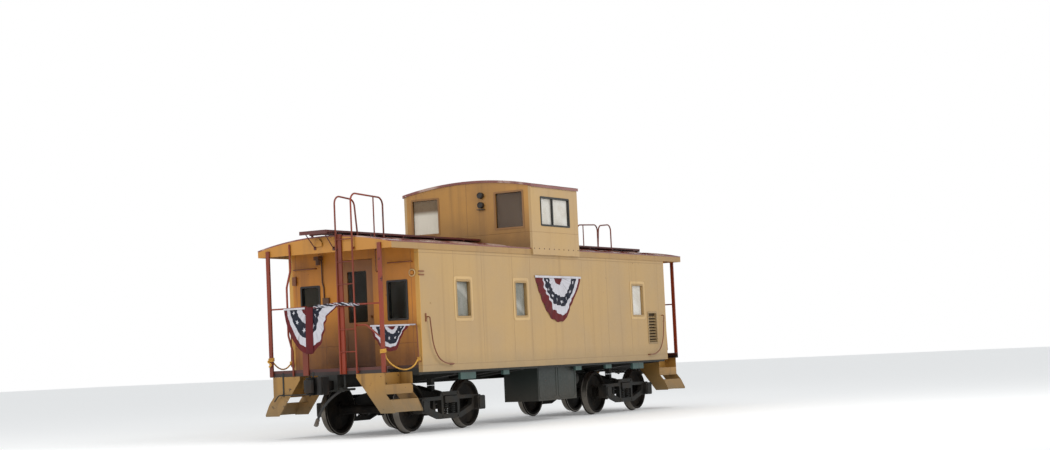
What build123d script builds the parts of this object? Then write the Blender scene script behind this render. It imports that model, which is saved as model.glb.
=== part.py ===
"""Cupola caboose for a standard-gauge line, built at full size in millimetres.

X runs along the car, Y across it and Z up. The origin is on the floor under the middle
of the car, where the wheel flanges stand. End a is at -X and end b at +X, and end b is
end a turned half a turn about Z, so each side shows the same layout from its own front.
"""

import os
from math import cos, radians, sin, sqrt, tan

from build123d import *

os.makedirs("parts", exist_ok=True)

# Cabin, roof and cupola
body_half = 4762
body_half_width = 1379
wall = 80
side_bottom = 1054
floor_top = 1182
floor_thick = 50
roof_half = 5600
roof_crown = 3417
roof_rise = 160
roof_thick = 50
rib_width = 46
rib_height = 22
rib_pitch = 1018
trim_width = 46
trim_height = 20
fascia_bottom = 3151
fascia_thick = 17
cupola_half = 912
cupola_half_width = 1434
cupola_wall = 55
cupola_eave = 4454
cupola_rise = 150
cupola_roof_thick = 28
cupola_rib_height = 18
cupola_overhang = 22
fit = 0.3

# Windows and doors
frame_width = 34
frame_proud = 8
glass_thick = 6
door_centre = -60
door_width = 700
door_top = 3050
door_gap = 8
door_thick = 44

# Underframe
beam_height = 110
beam_depth = 90
beam_half_width = 1222
sill_half_width = 165
sill_bottom = 850
sill_web = 14
sill_flange = 60
side_sill_height = 120
side_sill_width = 70
deck_half_width = 900

# Trucks
truck_centre = 3400
wheelbase = 1830
tread_radius = 420
flange = 28
frame_y = 990
frame_thick = 90
journal_radius = 70
journal_gap = 0.3
centre_plate_top = 830
spring_foot = 300
spring_top = 490

# Stairs, railings and ladders
stringer_thick = 10
step_bottom = 400
post_thick = 34
rail_z = 2240
rail_radius = 14
stile_radius = 15
stile_a = -310
stile_b = -645
board_top = 3520
board_thick = 32
board_end = roof_half + 280
plank = 180
plank_gap = 8

# Couplers
coupler_z = 900
coupler_pivot = roof_half - 450
coupler_play = 6
shank_half = 65
draw_pin = 28
knuckle_x = roof_half + 345
knuckle_y = 125
knuckle_pin = 20

beam_face = roof_half
roof_radius = (body_half_width**2 + roof_rise**2) / (2 * roof_rise)
cupola_radius = (cupola_half_width**2 + cupola_rise**2) / (2 * cupola_rise)
cupola_reach = cupola_half + cupola_overhang
cupola_cover = cupola_half_width + cupola_overhang
inside_half = body_half_width - wall
floor_bottom = floor_top - floor_thick
beam_bottom = floor_top - beam_height
axle_height = tread_radius + flange


def save(piece, label):
    """Label a finished piece and write it as its own file."""
    piece.part.label = label
    export_step(piece.part, f"parts/{label}.step")


def save_pair(piece, label):
    """Write a piece and its copy, half a turn about Z, as one node."""
    with BuildPart() as pair:
        add(piece.part)
        add(piece.part.rotate(Axis.Z, 180))
    save(pair, label)


def save_both(piece, label):
    """Write a piece of end a and its copy at end b, half a turn about Z."""
    save(piece, f"{label}_a")
    with BuildPart() as far_piece:
        add(piece.part.rotate(Axis.Z, 180))
    save(far_piece, f"{label}_b")


def roof_height(y, drop=0):
    """Height of the main roof's surface, or of one parallel to it and drop lower."""
    radius = roof_radius - drop
    return roof_crown - roof_radius + sqrt(radius**2 - y**2)


def cupola_height(y, drop=0):
    """Height of the cupola roof's underside, or of a surface drop lower."""
    radius = cupola_radius - drop
    return cupola_eave + cupola_rise - cupola_radius + sqrt(radius**2 - y**2)


def block(x0, x1, y0, y1, z0, z1):
    """A block between two corners."""
    with BuildPart() as piece:
        with BuildSketch(Plane.XY.offset(z0)):
            with Locations(((x0 + x1) / 2, (y0 + y1) / 2)):
                Rectangle(x1 - x0, abs(y1 - y0))
        extrude(amount=z1 - z0)
    return piece.part


def rod(points, radius, bend=0):
    """A round bar along a run of points, bent to one radius."""
    with BuildPart() as piece:
        with BuildLine() as path:
            if len(points) > 2:
                FilletPolyline(*points, radius=bend)
            else:
                Line(*points)
        with BuildSketch(Plane(origin=path.line @ 0, z_dir=path.line % 0)):
            Circle(radius)
        sweep()
    return piece.part


def bend_radii(route):
    """Largest radius for each corner: 0.45 of the shorter run over the half turn's tangent."""
    stops = [Vector(*stop) for stop in route]
    radii = []
    for before, corner, after in zip(stops, stops[1:], stops[2:]):
        first = corner - before
        second = after - corner
        half_turn = radians(first.get_angle(second)) / 2
        radii.append(0.45 * min(first.length, second.length) / tan(half_turn))
    return radii


def cord(route, radius):
    """A round tube of straight runs joined by tangent arcs."""
    with BuildPart() as piece:
        with BuildLine() as path:
            FilletPolyline(*route, radius=bend_radii(route))
        with BuildSketch(Plane(origin=path.line @ 0, z_dir=path.line % 0)):
            Circle(radius)
        sweep()
    return piece, path.wires()[0].length


def arched_sheet(x0, x1, half_width, height, top_drop, bottom_drop):
    """A sheet bent to a roof's arch, between two depths below its surface."""
    with BuildPart() as piece:
        with BuildSketch(Plane.YZ.offset(x0)):
            with BuildLine():
                outer = height(half_width, top_drop)
                under = height(half_width, bottom_drop)
                ThreePointArc(
                    (-half_width, outer), (0, height(0, top_drop)), (half_width, outer)
                )
                Line((half_width, outer), (half_width, under))
                ThreePointArc(
                    (half_width, under), (0, height(0, bottom_drop)), (-half_width, under)
                )
                Line((-half_width, under), (-half_width, outer))
            make_face()
        extrude(amount=x1 - x0)
    return piece.part


# Windows of the side wall at -Y: left, right, bottom, top
side_windows = [
    (-body_half + 1150, -body_half + 1649, 1968, 2645),
    (-1579, -1111, 1968, 2645),
    (body_half - 1572, body_half - 1025, 1968, 2645),
]
louvre = (body_half - 880, body_half - 438, 1390, 2072)
# Windows of the end wall: inner and outer distance from the middle, bottom, top
end_window = (705, 1140, 1953, 2648)
# Door glass: width, bottom, top
door_glass = (410, 1957, 2849)
# Cupola windows: half-length, bottom, top and inner, outer, bottom, top
cupola_side_window = (568, 3703, 4271)
cupola_end_window = (620, 1275, 3665, 4395)
window_corner = 28

# Side walls, one panel each, with the windows and the louvre cut through
wall_drop = roof_thick + fit
with BuildPart() as side_wall_near:
    with BuildSketch(Plane.YZ.offset(-body_half)):
        with BuildLine():
            middle = body_half_width - wall / 2
            Polyline(
                (-inside_half, roof_height(inside_half, wall_drop)),
                (-inside_half, side_bottom),
                (-body_half_width, side_bottom),
                (-body_half_width, roof_height(body_half_width, wall_drop)),
            )
            ThreePointArc(
                (-body_half_width, roof_height(body_half_width, wall_drop)),
                (-middle, roof_height(middle, wall_drop)),
                (-inside_half, roof_height(inside_half, wall_drop)),
            )
        make_face()
    extrude(amount=2 * body_half)
    for left, right, bottom, top in side_windows + [louvre]:
        with BuildSketch(Plane.XZ.offset(body_half_width)):
            with Locations(((left + right) / 2, (bottom + top) / 2)):
                RectangleRounded(right - left, top - bottom, window_corner)
        extrude(amount=-wall, mode=Mode.SUBTRACT)
save(side_wall_near, "side_wall_near")
with BuildPart() as side_wall_off:
    add(side_wall_near.part.rotate(Axis.Z, 180))
save(side_wall_off, "side_wall_off")

# End wall with its doorway and two windows
door_left = door_centre - door_width / 2 - door_gap
door_right = door_centre + door_width / 2 + door_gap
end_half = inside_half - fit
with BuildPart() as end_wall:
    with BuildSketch(Plane.YZ.offset(-body_half)):
        with BuildLine():
            eave = roof_height(end_half, wall_drop)
            Polyline((end_half, eave), (end_half, floor_top), (-end_half, floor_top),
                     (-end_half, eave))
            ThreePointArc((-end_half, eave), (0, roof_height(0, wall_drop)), (end_half, eave))
        make_face()
        with Locations((door_centre, (floor_top + door_top) / 2)):
            Rectangle(door_right - door_left, door_top - floor_top, mode=Mode.SUBTRACT)
        near, far, bottom, top = end_window
        for side in (-1, 1):
            with Locations((side * (near + far) / 2, (bottom + top) / 2)):
                RectangleRounded(far - near, top - bottom, window_corner, mode=Mode.SUBTRACT)
    extrude(amount=wall)
save_pair(end_wall, "end_walls")

# Floor: cabin and both platforms in one outline
with BuildPart() as floor:
    with BuildSketch(Plane.XY.offset(floor_bottom)):
        Rectangle(2 * body_half, 2 * end_half)
        Rectangle(2 * (beam_face - beam_depth), 2 * deck_half_width)
    extrude(amount=floor_thick)
save(floor, "floor")

# Roof at each side of the cupola: an arched sheet, seam caps across it, trim at its eaves
sheet_end = roof_half - fascia_thick - fit
seam_depth = 1
trim_bottom = roof_height(body_half_width) - seam_depth
trim_outer = body_half_width + fascia_thick + 4
rib_places = [
    -roof_half + rib_width / 2 + count * rib_pitch
    for count in range(int((roof_half - cupola_half) / rib_pitch) + 1)
]
with BuildPart() as roof:
    add(arched_sheet(-sheet_end, -cupola_half, body_half_width, roof_height, 0, roof_thick))
    for x in rib_places:
        add(arched_sheet(x - rib_width / 2, x + rib_width / 2, body_half_width, roof_height,
                         -rib_height, seam_depth))
    for side in (-1, 1):
        add(block(-roof_half, -cupola_half - fit, side * (trim_outer - trim_width),
                  side * trim_outer, trim_bottom, trim_bottom + trim_height))
save_pair(roof, "roofs")

# Fascias: a board across each canopy end, joined to the boards along both eaves
fascia_top = trim_bottom - fit
fascia_half = body_half_width + fascia_thick
step_y = trim_outer - trim_width - fit
with BuildPart() as fascia:
    with BuildSketch(Plane.YZ.offset(-roof_half)):
        with BuildLine():
            inner_top = roof_height(step_y, seam_depth + fit)
            Polyline(
                (step_y, inner_top), (step_y, fascia_top), (fascia_half, fascia_top),
                (fascia_half, fascia_bottom), (-fascia_half, fascia_bottom),
                (-fascia_half, fascia_top), (-step_y, fascia_top), (-step_y, inner_top),
            )
            ThreePointArc((-step_y, inner_top), (0, roof_height(0, seam_depth + fit)),
                          (step_y, inner_top))
        make_face()
    extrude(amount=fascia_thick)
    for side in (-1, 1):
        add(block(-roof_half, -cupola_half - fit, side * body_half_width,
                  side * fascia_half, fascia_bottom, fascia_top))
save_pair(fascia, "fascias")

# Cupola: two sides proud of the body, two ends that follow both roofs, and its roof
with BuildPart() as cupola_side:
    with BuildSketch(Plane.XZ.offset(cupola_half_width - cupola_wall)):
        side_height = cupola_eave - fit - fascia_bottom
        with Locations((0, fascia_bottom + side_height / 2)):
            Rectangle(2 * cupola_half, side_height)
        half, bottom, top = cupola_side_window
        with Locations((0, (bottom + top) / 2)):
            RectangleRounded(2 * half, top - bottom, window_corner, mode=Mode.SUBTRACT)
    extrude(amount=cupola_wall)
save_pair(cupola_side, "cupola_sides")
with BuildPart() as cupola_end:
    with BuildSketch(Plane.YZ.offset(-cupola_half)):
        with BuildLine():
            half = cupola_half_width - cupola_wall - fit
            low = roof_height(half, wall_drop)
            high = cupola_height(half, fit)
            ThreePointArc((-half, high), (0, cupola_height(0, fit)), (half, high))
            Line((half, high), (half, low))
            ThreePointArc((half, low), (0, roof_height(0, wall_drop)), (-half, low))
            Line((-half, low), (-half, high))
        make_face()
        near, far, bottom, top = cupola_end_window
        for side in (-1, 1):
            with Locations((side * (near + far) / 2, (bottom + top) / 2)):
                RectangleRounded(far - near, top - bottom, window_corner, mode=Mode.SUBTRACT)
    extrude(amount=cupola_wall)
save_pair(cupola_end, "cupola_ends")
cupola_ribs = (-cupola_reach + rib_width / 2, -cupola_half / 3, cupola_half / 3,
               cupola_reach - rib_width / 2)
with BuildPart() as cupola_roof:
    add(arched_sheet(-cupola_reach, cupola_reach, cupola_cover, cupola_height,
                     -cupola_roof_thick, 0))
    for x in cupola_ribs:
        add(arched_sheet(x - rib_width / 2, x + rib_width / 2, cupola_cover, cupola_height,
                         -cupola_roof_thick - cupola_rib_height, -seam_depth))
    for side in (-1, 1):
        edge_z = cupola_height(cupola_cover)
        add(block(-cupola_reach, cupola_reach, side * (cupola_cover - fascia_thick),
                  side * cupola_cover, edge_z - trim_height / 2,
                  edge_z + cupola_roof_thick + trim_height / 2))
save(cupola_roof, "cupola_roof")


# Window frames and panes, every row: centre along the plane, width, bottom, top
def window_ring(plane, along, width, bottom, top, deep, mullion=None):
    """A frame that lines its opening, stands proud of it and may have one upright bar."""
    centre = (along, (bottom + top) / 2)
    inner_corner = window_corner / 2
    with BuildPart() as piece:
        with BuildSketch(plane.offset(frame_proud)):
            with Locations(centre):
                RectangleRounded(width - 2 * fit, top - bottom - 2 * fit, window_corner)
                RectangleRounded(width - 2 * frame_width, top - bottom - 2 * frame_width,
                                 inner_corner, mode=Mode.SUBTRACT)
        extrude(amount=-deep - frame_proud)
        if mullion is not None:
            with BuildSketch(plane.offset(frame_proud)):
                with Locations((mullion, (bottom + top) / 2)):
                    Rectangle(frame_width, top - bottom - frame_width)
            extrude(amount=-deep / 2 - frame_proud + fit)
    return piece.part


def window_pane(plane, along, width, bottom, top, deep):
    """The pane seated in the middle of its frame."""
    with BuildPart() as piece:
        with BuildSketch(plane.offset(-deep / 2)):
            with Locations((along, (bottom + top) / 2)):
                RectangleRounded(width - 2 * frame_width - 2 * fit,
                                 top - bottom - 2 * frame_width - 2 * fit,
                                 window_corner / 2)
        extrude(amount=-glass_thick)
    return piece.part


side_plane = Plane.XZ.offset(body_half_width)
end_plane = Plane(origin=(-body_half, 0, 0), x_dir=(0, -1, 0), z_dir=(-1, 0, 0))
cupola_side_plane = Plane.XZ.offset(cupola_half_width)
cupola_end_plane = Plane(origin=(-cupola_half, 0, 0), x_dir=(0, -1, 0), z_dir=(-1, 0, 0))
cupola_side_row = (0, 2 * cupola_side_window[0], cupola_side_window[1], cupola_side_window[2])
mullion_place = -100
window_rows = [(side_plane, (left + right) / 2, right - left, low, high, wall)
               for left, right, low, high in side_windows]
window_rows += [(end_plane, side * (end_window[0] + end_window[1]) / 2,
                 end_window[1] - end_window[0], end_window[2], end_window[3], wall)
                for side in (-1, 1)]
window_rows += [(cupola_end_plane, side * (cupola_end_window[0] + cupola_end_window[1]) / 2,
                 cupola_end_window[1] - cupola_end_window[0], cupola_end_window[2],
                 cupola_end_window[3], cupola_wall) for side in (-1, 1)]
window_rows += [(cupola_side_plane, *cupola_side_row, cupola_wall)]
mullions = [None] * (len(window_rows) - 1) + [mullion_place]
with BuildPart() as window_frames:
    for row, mullion in zip(window_rows, mullions):
        ring = window_ring(*row, mullion)
        add(ring)
        add(ring.rotate(Axis.Z, 180))
save(window_frames, "window_frames")
with BuildPart() as window_panes:
    for row in window_rows:
        pane = window_pane(*row)
        add(pane)
        add(pane.rotate(Axis.Z, 180))
save(window_panes, "window_panes")

# Louvres: a frame and slanted slats in the side wall
left, right, bottom, top = louvre
louvre_rim = 36
louvre_proud = 10
slat_pitch = 62
slat_thick = 6
slat_reach = 52
slat_angle = 35
slat_count = int((top - bottom - 2 * louvre_rim) / slat_pitch)
with BuildPart() as louvre_panel:
    with BuildSketch(side_plane.offset(louvre_proud)):
        with Locations(((left + right) / 2, (bottom + top) / 2)):
            RectangleRounded(right - left - 2 * fit, top - bottom - 2 * fit, window_corner)
            Rectangle(right - left - 2 * louvre_rim, top - bottom - 2 * louvre_rim,
                      mode=Mode.SUBTRACT)
    extrude(amount=-louvre_proud - slat_reach)
    for count in range(slat_count):
        slat_z = bottom + louvre_rim + slat_pitch * (count + 0.5)
        with BuildSketch(Plane.YZ.offset(left + louvre_rim - seam_depth)):
            with Locations((-body_half_width + slat_reach / 2 - slat_thick, slat_z)):
                Rectangle(slat_reach, slat_thick, rotation=slat_angle)
        extrude(amount=right - left - 2 * louvre_rim + 2 * seam_depth)
save_pair(louvre_panel, "louvres")

# Door with its glass, hung on the inner edge of the doorway and opening inwards
hinge_radius = 8
hinge_length = 120
hinge_places = (1400, 2115, 2830)
leaf_thick = 10
leaf_width = 56
panel_thick = door_thick - 4
door_face = -body_half + wall - door_thick
door_back = door_face + panel_thick
hinge_x = -body_half + wall + hinge_radius
hinge_y = door_right - sqrt((hinge_radius + fit)**2 - hinge_radius**2)
knob_radius = 22
knob_length = 60
knob_z = 2050
panel_bottom = 1310
panel_top = 1830
panel_recess = 8
door_plane = Plane(origin=(door_face, 0, 0), x_dir=(0, -1, 0), z_dir=(-1, 0, 0))
glass_width, glass_bottom, glass_top = door_glass
with BuildPart() as door:
    with BuildSketch(door_plane):
        with Locations((-door_centre, (floor_top + door_top) / 2)):
            Rectangle(door_width, door_top - floor_top - 2 * door_gap)
        with Locations((-door_centre, (glass_bottom + glass_top) / 2)):
            RectangleRounded(glass_width, glass_top - glass_bottom, window_corner,
                             mode=Mode.SUBTRACT)
    extrude(amount=-panel_thick)
    with BuildSketch(door_plane):
        with Locations((-door_centre, (panel_bottom + panel_top) / 2)):
            RectangleRounded(glass_width + 70, panel_top - panel_bottom, window_corner)
    extrude(amount=-panel_recess, mode=Mode.SUBTRACT)
    for height in hinge_places:
        with BuildSketch(Plane.XY.offset(height - hinge_length / 2)):
            with Locations((hinge_x, hinge_y)):
                Circle(hinge_radius)
            with Locations((door_back + leaf_thick / 2 - seam_depth, hinge_y - leaf_width / 2)):
                Rectangle(leaf_thick, leaf_width)
        extrude(amount=hinge_length)
    for start in (door_face - knob_length, door_back):
        with BuildSketch(Plane.YZ.offset(start)):
            with Locations((door_left + 70, knob_z)):
                Circle(knob_radius)
        extrude(amount=knob_length)
save_both(door, "door")
with BuildPart() as door_pane:
    with BuildSketch(door_plane.offset(-(panel_thick - glass_thick) / 2)):
        with Locations((-door_centre, (glass_bottom + glass_top) / 2)):
            RectangleRounded(glass_width - 2 * fit, glass_top - glass_bottom - 2 * fit,
                             window_corner)
    extrude(amount=-glass_thick)
save_both(door_pane, "door_glass")

# Centre sill: a channel open below, with centre plates and draw pins, and its strikers
sill_reach = beam_face - beam_depth - fit
plate_radius = 150
striker_half = 200
striker_bottom = 790
striker_gap = 5
shank_depth = 75
swing = shank_half + (beam_face - coupler_pivot) * sin(radians(coupler_play)) + 2 * striker_gap
with BuildPart() as centre_sill:
    with BuildSketch(Plane.YZ.offset(-sill_reach)):
        sill_height = floor_bottom - fit - sill_bottom
        with Locations((0, sill_bottom + sill_height / 2)):
            Rectangle(2 * sill_half_width, sill_height)
        with Locations((0, sill_bottom + sill_height / 2 - sill_web)):
            Rectangle(2 * (sill_half_width - sill_web), sill_height, mode=Mode.SUBTRACT)
        for side in (-1, 1):
            with Locations((side * (sill_half_width + sill_flange / 2),
                            sill_bottom + sill_web / 2)):
                Rectangle(sill_flange, sill_web)
    extrude(amount=2 * sill_reach)
    for end in (-1, 1):
        add(block(end * truck_centre - plate_radius, end * truck_centre + plate_radius,
                  -sill_half_width + seam_depth, sill_half_width - seam_depth,
                  sill_bottom, floor_bottom - sill_web))
        with BuildSketch(Plane.XY.offset(centre_plate_top + fit)):
            with Locations((end * truck_centre, 0)):
                Circle(plate_radius)
        extrude(amount=sill_bottom - centre_plate_top)
        with BuildSketch(Plane.XY.offset(coupler_z - shank_depth)):
            with Locations((end * coupler_pivot, 0)):
                Circle(draw_pin)
        extrude(amount=floor_bottom - sill_web - coupler_z + shank_depth)
save(centre_sill, "centre_sill")
with BuildPart() as striker:
    with BuildSketch(Plane.YZ.offset(-beam_face)):
        with Locations((0, (striker_bottom + beam_bottom - fit) / 2)):
            Rectangle(2 * striker_half, beam_bottom - fit - striker_bottom)
        with Locations((0, coupler_z)):
            Rectangle(2 * swing, 2 * (shank_depth + striker_gap), mode=Mode.SUBTRACT)
    extrude(amount=beam_depth)
save_pair(striker, "strikers")

# Floor frame: side sills with jack pads, end sills, cross bearers and side bearings
frame_outer = inside_half - fit
frame_inner = sill_half_width + fit
bearer_top = floor_bottom - fit
# Cross bearers: place along the car, width, depth at the centre sill, depth at the side
bearers = [
    (-body_half + 162, 90, 200, 130), (-truck_centre, 300, 262, 150), (-2000, 90, 240, 130),
    (-1150, 90, 240, 130), (1150, 90, 240, 130), (2000, 90, 240, 130),
    (truck_centre, 300, 262, 150), (body_half - 162, 90, 200, 130),
]
# Jack pads of the near side: start and end along the car, foot
jack_pads = [
    (-3440, -2930, 890), (-1970, -1760, 930), (785, 1020, 930), (2050, 2300, 930),
    (3250, 3745, 890),
]
pad_width = 50
bearing_y = 635
bearing_half = 50
bearing_foot = 806
sill_inner = frame_outer - side_sill_width - fit
sill_foot = bearer_top - side_sill_height
with BuildPart() as near_sill:
    add(block(-body_half, body_half, -frame_outer, -frame_outer + side_sill_width,
              sill_foot, bearer_top))
    for start, end, foot in jack_pads:
        add(block(start, end, -frame_outer, -frame_outer + pad_width, foot,
                  sill_foot + seam_depth))
    for end in (-1, 1):
        inner_end = end * (body_half - side_sill_width)
        add(block(min(end * body_half, inner_end), max(end * body_half, inner_end),
                  -sill_inner, -frame_inner, sill_foot, bearer_top))
save_pair(near_sill, "side_sills")
with BuildPart() as near_bearers:
    for place, width, deep, shallow in bearers:
        with BuildSketch(Plane.YZ.offset(place - width / 2)):
            Polygon((-frame_inner, bearer_top), (-sill_inner, bearer_top),
                    (-sill_inner, bearer_top - shallow),
                    (-frame_inner - sill_flange, bearer_top - deep),
                    (-frame_inner, bearer_top - deep), align=None)
        extrude(amount=width)
        if abs(place) == truck_centre:
            slope = (deep - shallow) / (sill_inner - frame_inner - sill_flange)
            reach = bearing_y - bearing_half
            seat = bearer_top - deep + slope * (reach - frame_inner - sill_flange) - fit
            with BuildSketch(Plane.YZ.offset(place - bearing_half)):
                Polygon((-reach, seat), (-reach - 2 * bearing_half, seat + 2 * slope * bearing_half),
                        (-reach - 2 * bearing_half, bearing_foot), (-reach, bearing_foot),
                        align=None)
            extrude(amount=2 * bearing_half)
save_pair(near_bearers, "cross_bearers")

# End beams: channels across the platform ends, open towards the car
beam_wall = 16
with BuildPart() as end_beam:
    with BuildSketch(Plane.XZ.offset(-beam_half_width)):
        with BuildLine():
            Polyline(
                (-beam_face, beam_bottom), (-beam_face, floor_top),
                (-beam_face + beam_depth, floor_top),
                (-beam_face + beam_depth, floor_top - beam_wall),
                (-beam_face + beam_wall, floor_top - beam_wall),
                (-beam_face + beam_wall, beam_bottom + beam_wall),
                (-beam_face + beam_depth, beam_bottom + beam_wall),
                (-beam_face + beam_depth, beam_bottom), close=True,
            )
        make_face()
    extrude(amount=2 * beam_half_width)
save_pair(end_beam, "end_beams")

# Stairs: outer and inner stringers, a riser, two treads and their skirts
stair_top = beam_bottom - fit
stair_nose = 1163
lower_nose = 1262
stringer_outline = [
    (590, stair_top), (stair_nose, stair_top), (stair_nose, 730), (lower_nose, 612),
    (1352, 430), (1345, step_bottom), (1061, step_bottom), (590, 1010),
]
upper_tread = 875
lower_tread = 620
upper_skirt = 712
lower_back = 1060
lower_skirt = (1345, 412)
tread_thick = 12
skirt_thick = 8
stair_start = -beam_face + stringer_thick - seam_depth
stair_end = -body_half - fit - stringer_thick + seam_depth
with BuildPart() as stair_side:
    for start in (-beam_face, -body_half - fit - stringer_thick):
        with BuildSketch(Plane.YZ.offset(start)):
            Polygon(*stringer_outline, align=None)
        extrude(amount=stringer_thick)
    with BuildSketch(Plane.YZ.offset(stair_start)):
        with BuildLine():
            Polyline(
                (deck_half_width + fit, stair_top), (deck_half_width + fit, upper_tread),
                (deck_half_width + fit, upper_tread - tread_thick),
                (stair_nose - skirt_thick, upper_tread - tread_thick),
                (stair_nose - skirt_thick, upper_skirt), (stair_nose, upper_skirt),
                (stair_nose, upper_tread),
                (deck_half_width + fit + skirt_thick, upper_tread),
                (deck_half_width + fit + skirt_thick, stair_top), close=True,
            )
        make_face()
        with BuildLine():
            Polyline(
                (lower_back, lower_tread), (lower_back, lower_tread - tread_thick),
                (lower_nose - skirt_thick, lower_tread - tread_thick),
                (lower_skirt[0] - skirt_thick, lower_skirt[1]), lower_skirt,
                (lower_nose, lower_tread - skirt_thick), (lower_nose, lower_tread),
                close=True,
            )
        make_face()
    extrude(amount=stair_end - stair_start)
with BuildPart() as stairs:
    add(stair_side.part)
    add(stair_side.part.mirror(Plane.XZ))
save_both(stairs, "stairs")

# Rope points, from the corner post to the corner handle at end a: share of the way along
# the car, distance across it, height
rope_radius = 13
rope_first = -beam_face + 17
rope_last = -body_half - 88
near_points = [
    (0, -1174, 1416), (0.020, -1178, 1345), (0.079, -1187, 1282), (0.164, -1201, 1226),
    (0.266, -1218, 1178), (0.383, -1237, 1141), (0.509, -1258, 1115), (0.634, -1279, 1109),
    (0.754, -1299, 1125), (0.864, -1317, 1160), (0.948, -1331, 1211), (1, -1339, 1268),
]
far_points = [
    (0, 1174, 1352), (0.097, 1190, 1303), (0.209, 1209, 1262), (0.334, 1229, 1228),
    (0.468, 1251, 1209), (0.604, 1273, 1206), (0.738, 1295, 1220), (0.866, 1316, 1251),
    (1, 1337, 1301),
]


def rope_route(points):
    """Points in millimetres between the post and the handle."""
    return [(rope_first + share * (rope_last - rope_first), y, z) for share, y, z in points]


near_rope = rope_route(near_points)
far_rope = rope_route(far_points)
hook_radius = 8


def hook_height(route):
    """Height of the hook that a rope's first end hangs under."""
    start = Vector(*route[0])
    lean = (Vector(*route[1]) - start).normalized()
    return start.Z + rope_radius * sqrt(1 - lean.Z**2) + hook_radius + fit


# Railing: posts on the beam and the fascia, top rails, a curved rail and a bowed hand rail
post_x = -beam_face - fit
post_foot = beam_bottom + 8
corner_post = 1170
# Posts: distance from the middle, width, top
posts = [(-corner_post, 70, 3250), (corner_post, 70, 3250), (-350, 105, 3440),
         (430, 110, rail_z + rail_radius + 8)]
rail_x = post_x - post_thick / 2
rail_end = stile_b + 15
curved_z = 1890
bow_radius = 18
bow_x = post_x - bow_radius
with BuildPart() as railing:
    for y, width, top in posts:
        add(block(post_x - post_thick, post_x, y - width / 2, y + width / 2, post_foot, top))
    add(rod([(rail_x, -corner_post, rail_z), (rail_x, rail_end, rail_z)], rail_radius))
    add(rod([(rail_x, corner_post, rail_z), (rail_x, 430, rail_z)], rail_radius))
    add(rod([(rail_x, rail_end, curved_z), (rail_x, -850, curved_z),
             (rail_x, -corner_post, 1640), (rail_x, -corner_post, 1420)], rail_radius, 100))
    add(rod([(bow_x, 700, 3340), (bow_x, 690, 2900), (bow_x, 785, 2600), (bow_x, 785, 1780),
             (bow_x, 705, 1500), (bow_x, 705, post_foot)], bow_radius, 150))
    for route in (near_rope, far_rope):
        height = hook_height(route)
        add(rod([(post_x - post_thick / 2, route[0][1], height),
                 (route[0][0] + rope_radius, route[0][1], height)], hook_radius))
save_both(railing, "railing")

# Roof ladder: two stiles that turn over above the roof, round rungs, feet and brackets
stile_x = post_x - post_thick - stile_radius - fit
rung_first = 1450
rung_pitch = 380
rung_count = 6
rung_radius = 9
foot_radius = 34
foot_thick = 8
hoop_bend = 140
hoop_a = -roof_half + 600
hoop_b = -roof_half + 900
hoop_stay = -roof_half + 620
# Hoop legs: stile, place along the car, radius
hoop_legs = [(stile_a, hoop_a, stile_radius), (stile_b, hoop_b, stile_radius),
             (stile_b, hoop_stay, stile_radius - 3)]


def foot_height(y):
    """Lowest height of a flat foot that stands on the sloping roof."""
    return roof_height(abs(y) - foot_radius) + fit


with BuildPart() as ladder:
    add(rod([(stile_x, stile_a, post_foot), (stile_x, stile_a, 4105),
             (hoop_a - 80, stile_a, 4060),
             (hoop_a, stile_a, foot_height(stile_a) + foot_thick / 2)], stile_radius,
            hoop_bend))
    add(rod([(stile_x, stile_b, post_foot), (stile_x, stile_b, 4125), (hoop_b, stile_b, 4085),
             (hoop_b, stile_b, foot_height(stile_b) + foot_thick / 2)], stile_radius,
            hoop_bend))
    add(rod([(hoop_stay, stile_b, 4088),
             (hoop_stay, stile_b, foot_height(stile_b) + foot_thick / 2)], stile_radius - 3))
    for y, x, radius in hoop_legs:
        with BuildSketch(Plane.XY.offset(foot_height(y))):
            with Locations((x, y)):
                Circle(foot_radius)
        extrude(amount=foot_thick)
    for count in range(rung_count):
        height = rung_first + count * rung_pitch
        add(rod([(stile_x, stile_a, height), (stile_x, stile_b, height)], rung_radius))
    for height in (post_foot + 30, fascia_bottom + 40):
        add(block(stile_x, post_x, stile_b - 12, stile_b + 12, height - 20, height + 20))
    for height in (curved_z, rail_z):
        add(block(stile_x, rail_x - rail_radius - fit, stile_b - 12, rail_end,
                  height - 20, height + 20))
save_both(ladder, "ladder")

# Running boards from each roof end to the cupola: planks on saddles, braced at the overhang
plank_bottom = board_top - board_thick
board_half = 1.5 * plank + plank_gap
saddle_half = 18
saddle_height = 30
saddle_foot_y = 230
brace_radius = 9
# Overhang braces: distance from the middle, height at the fascia
braces = [(160, 3240), (-230, 3210)]
with BuildPart() as board:
    for row in (-1, 0, 1):
        y = row * (plank + plank_gap)
        add(block(-board_end, -cupola_half - fit, y - plank / 2, y + plank / 2,
                  plank_bottom, board_top))
    for x in [-board_end + saddle_half] + rib_places:
        add(block(x - saddle_half, x + saddle_half, -board_half, board_half,
                  plank_bottom - saddle_height, plank_bottom + seam_depth))
    for x in rib_places:
        for y in (-saddle_foot_y, saddle_foot_y):
            add(block(x - 14, x + 14, y - 16, y + 16,
                      roof_height(abs(y) - 16, -rib_height) + fit,
                      plank_bottom - saddle_height + seam_depth))
    for y, height in braces:
        add(block(post_x - 12, post_x, y - 22, y + 22, height - 30, height + 30))
        add(rod([(post_x - 8, y, height), (-board_end + saddle_half, y, plank_bottom - 20)],
                brace_radius))
save_pair(board, "running_boards")

# Grab irons: side sweeps, corner handles, bars over the end windows, a bar by the door
grab_radius = 11
grab_y = -body_half_width - 55
grab_x = -body_half - 60
skin_y = -body_half_width - fit
skin_x = -body_half - fit
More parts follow.
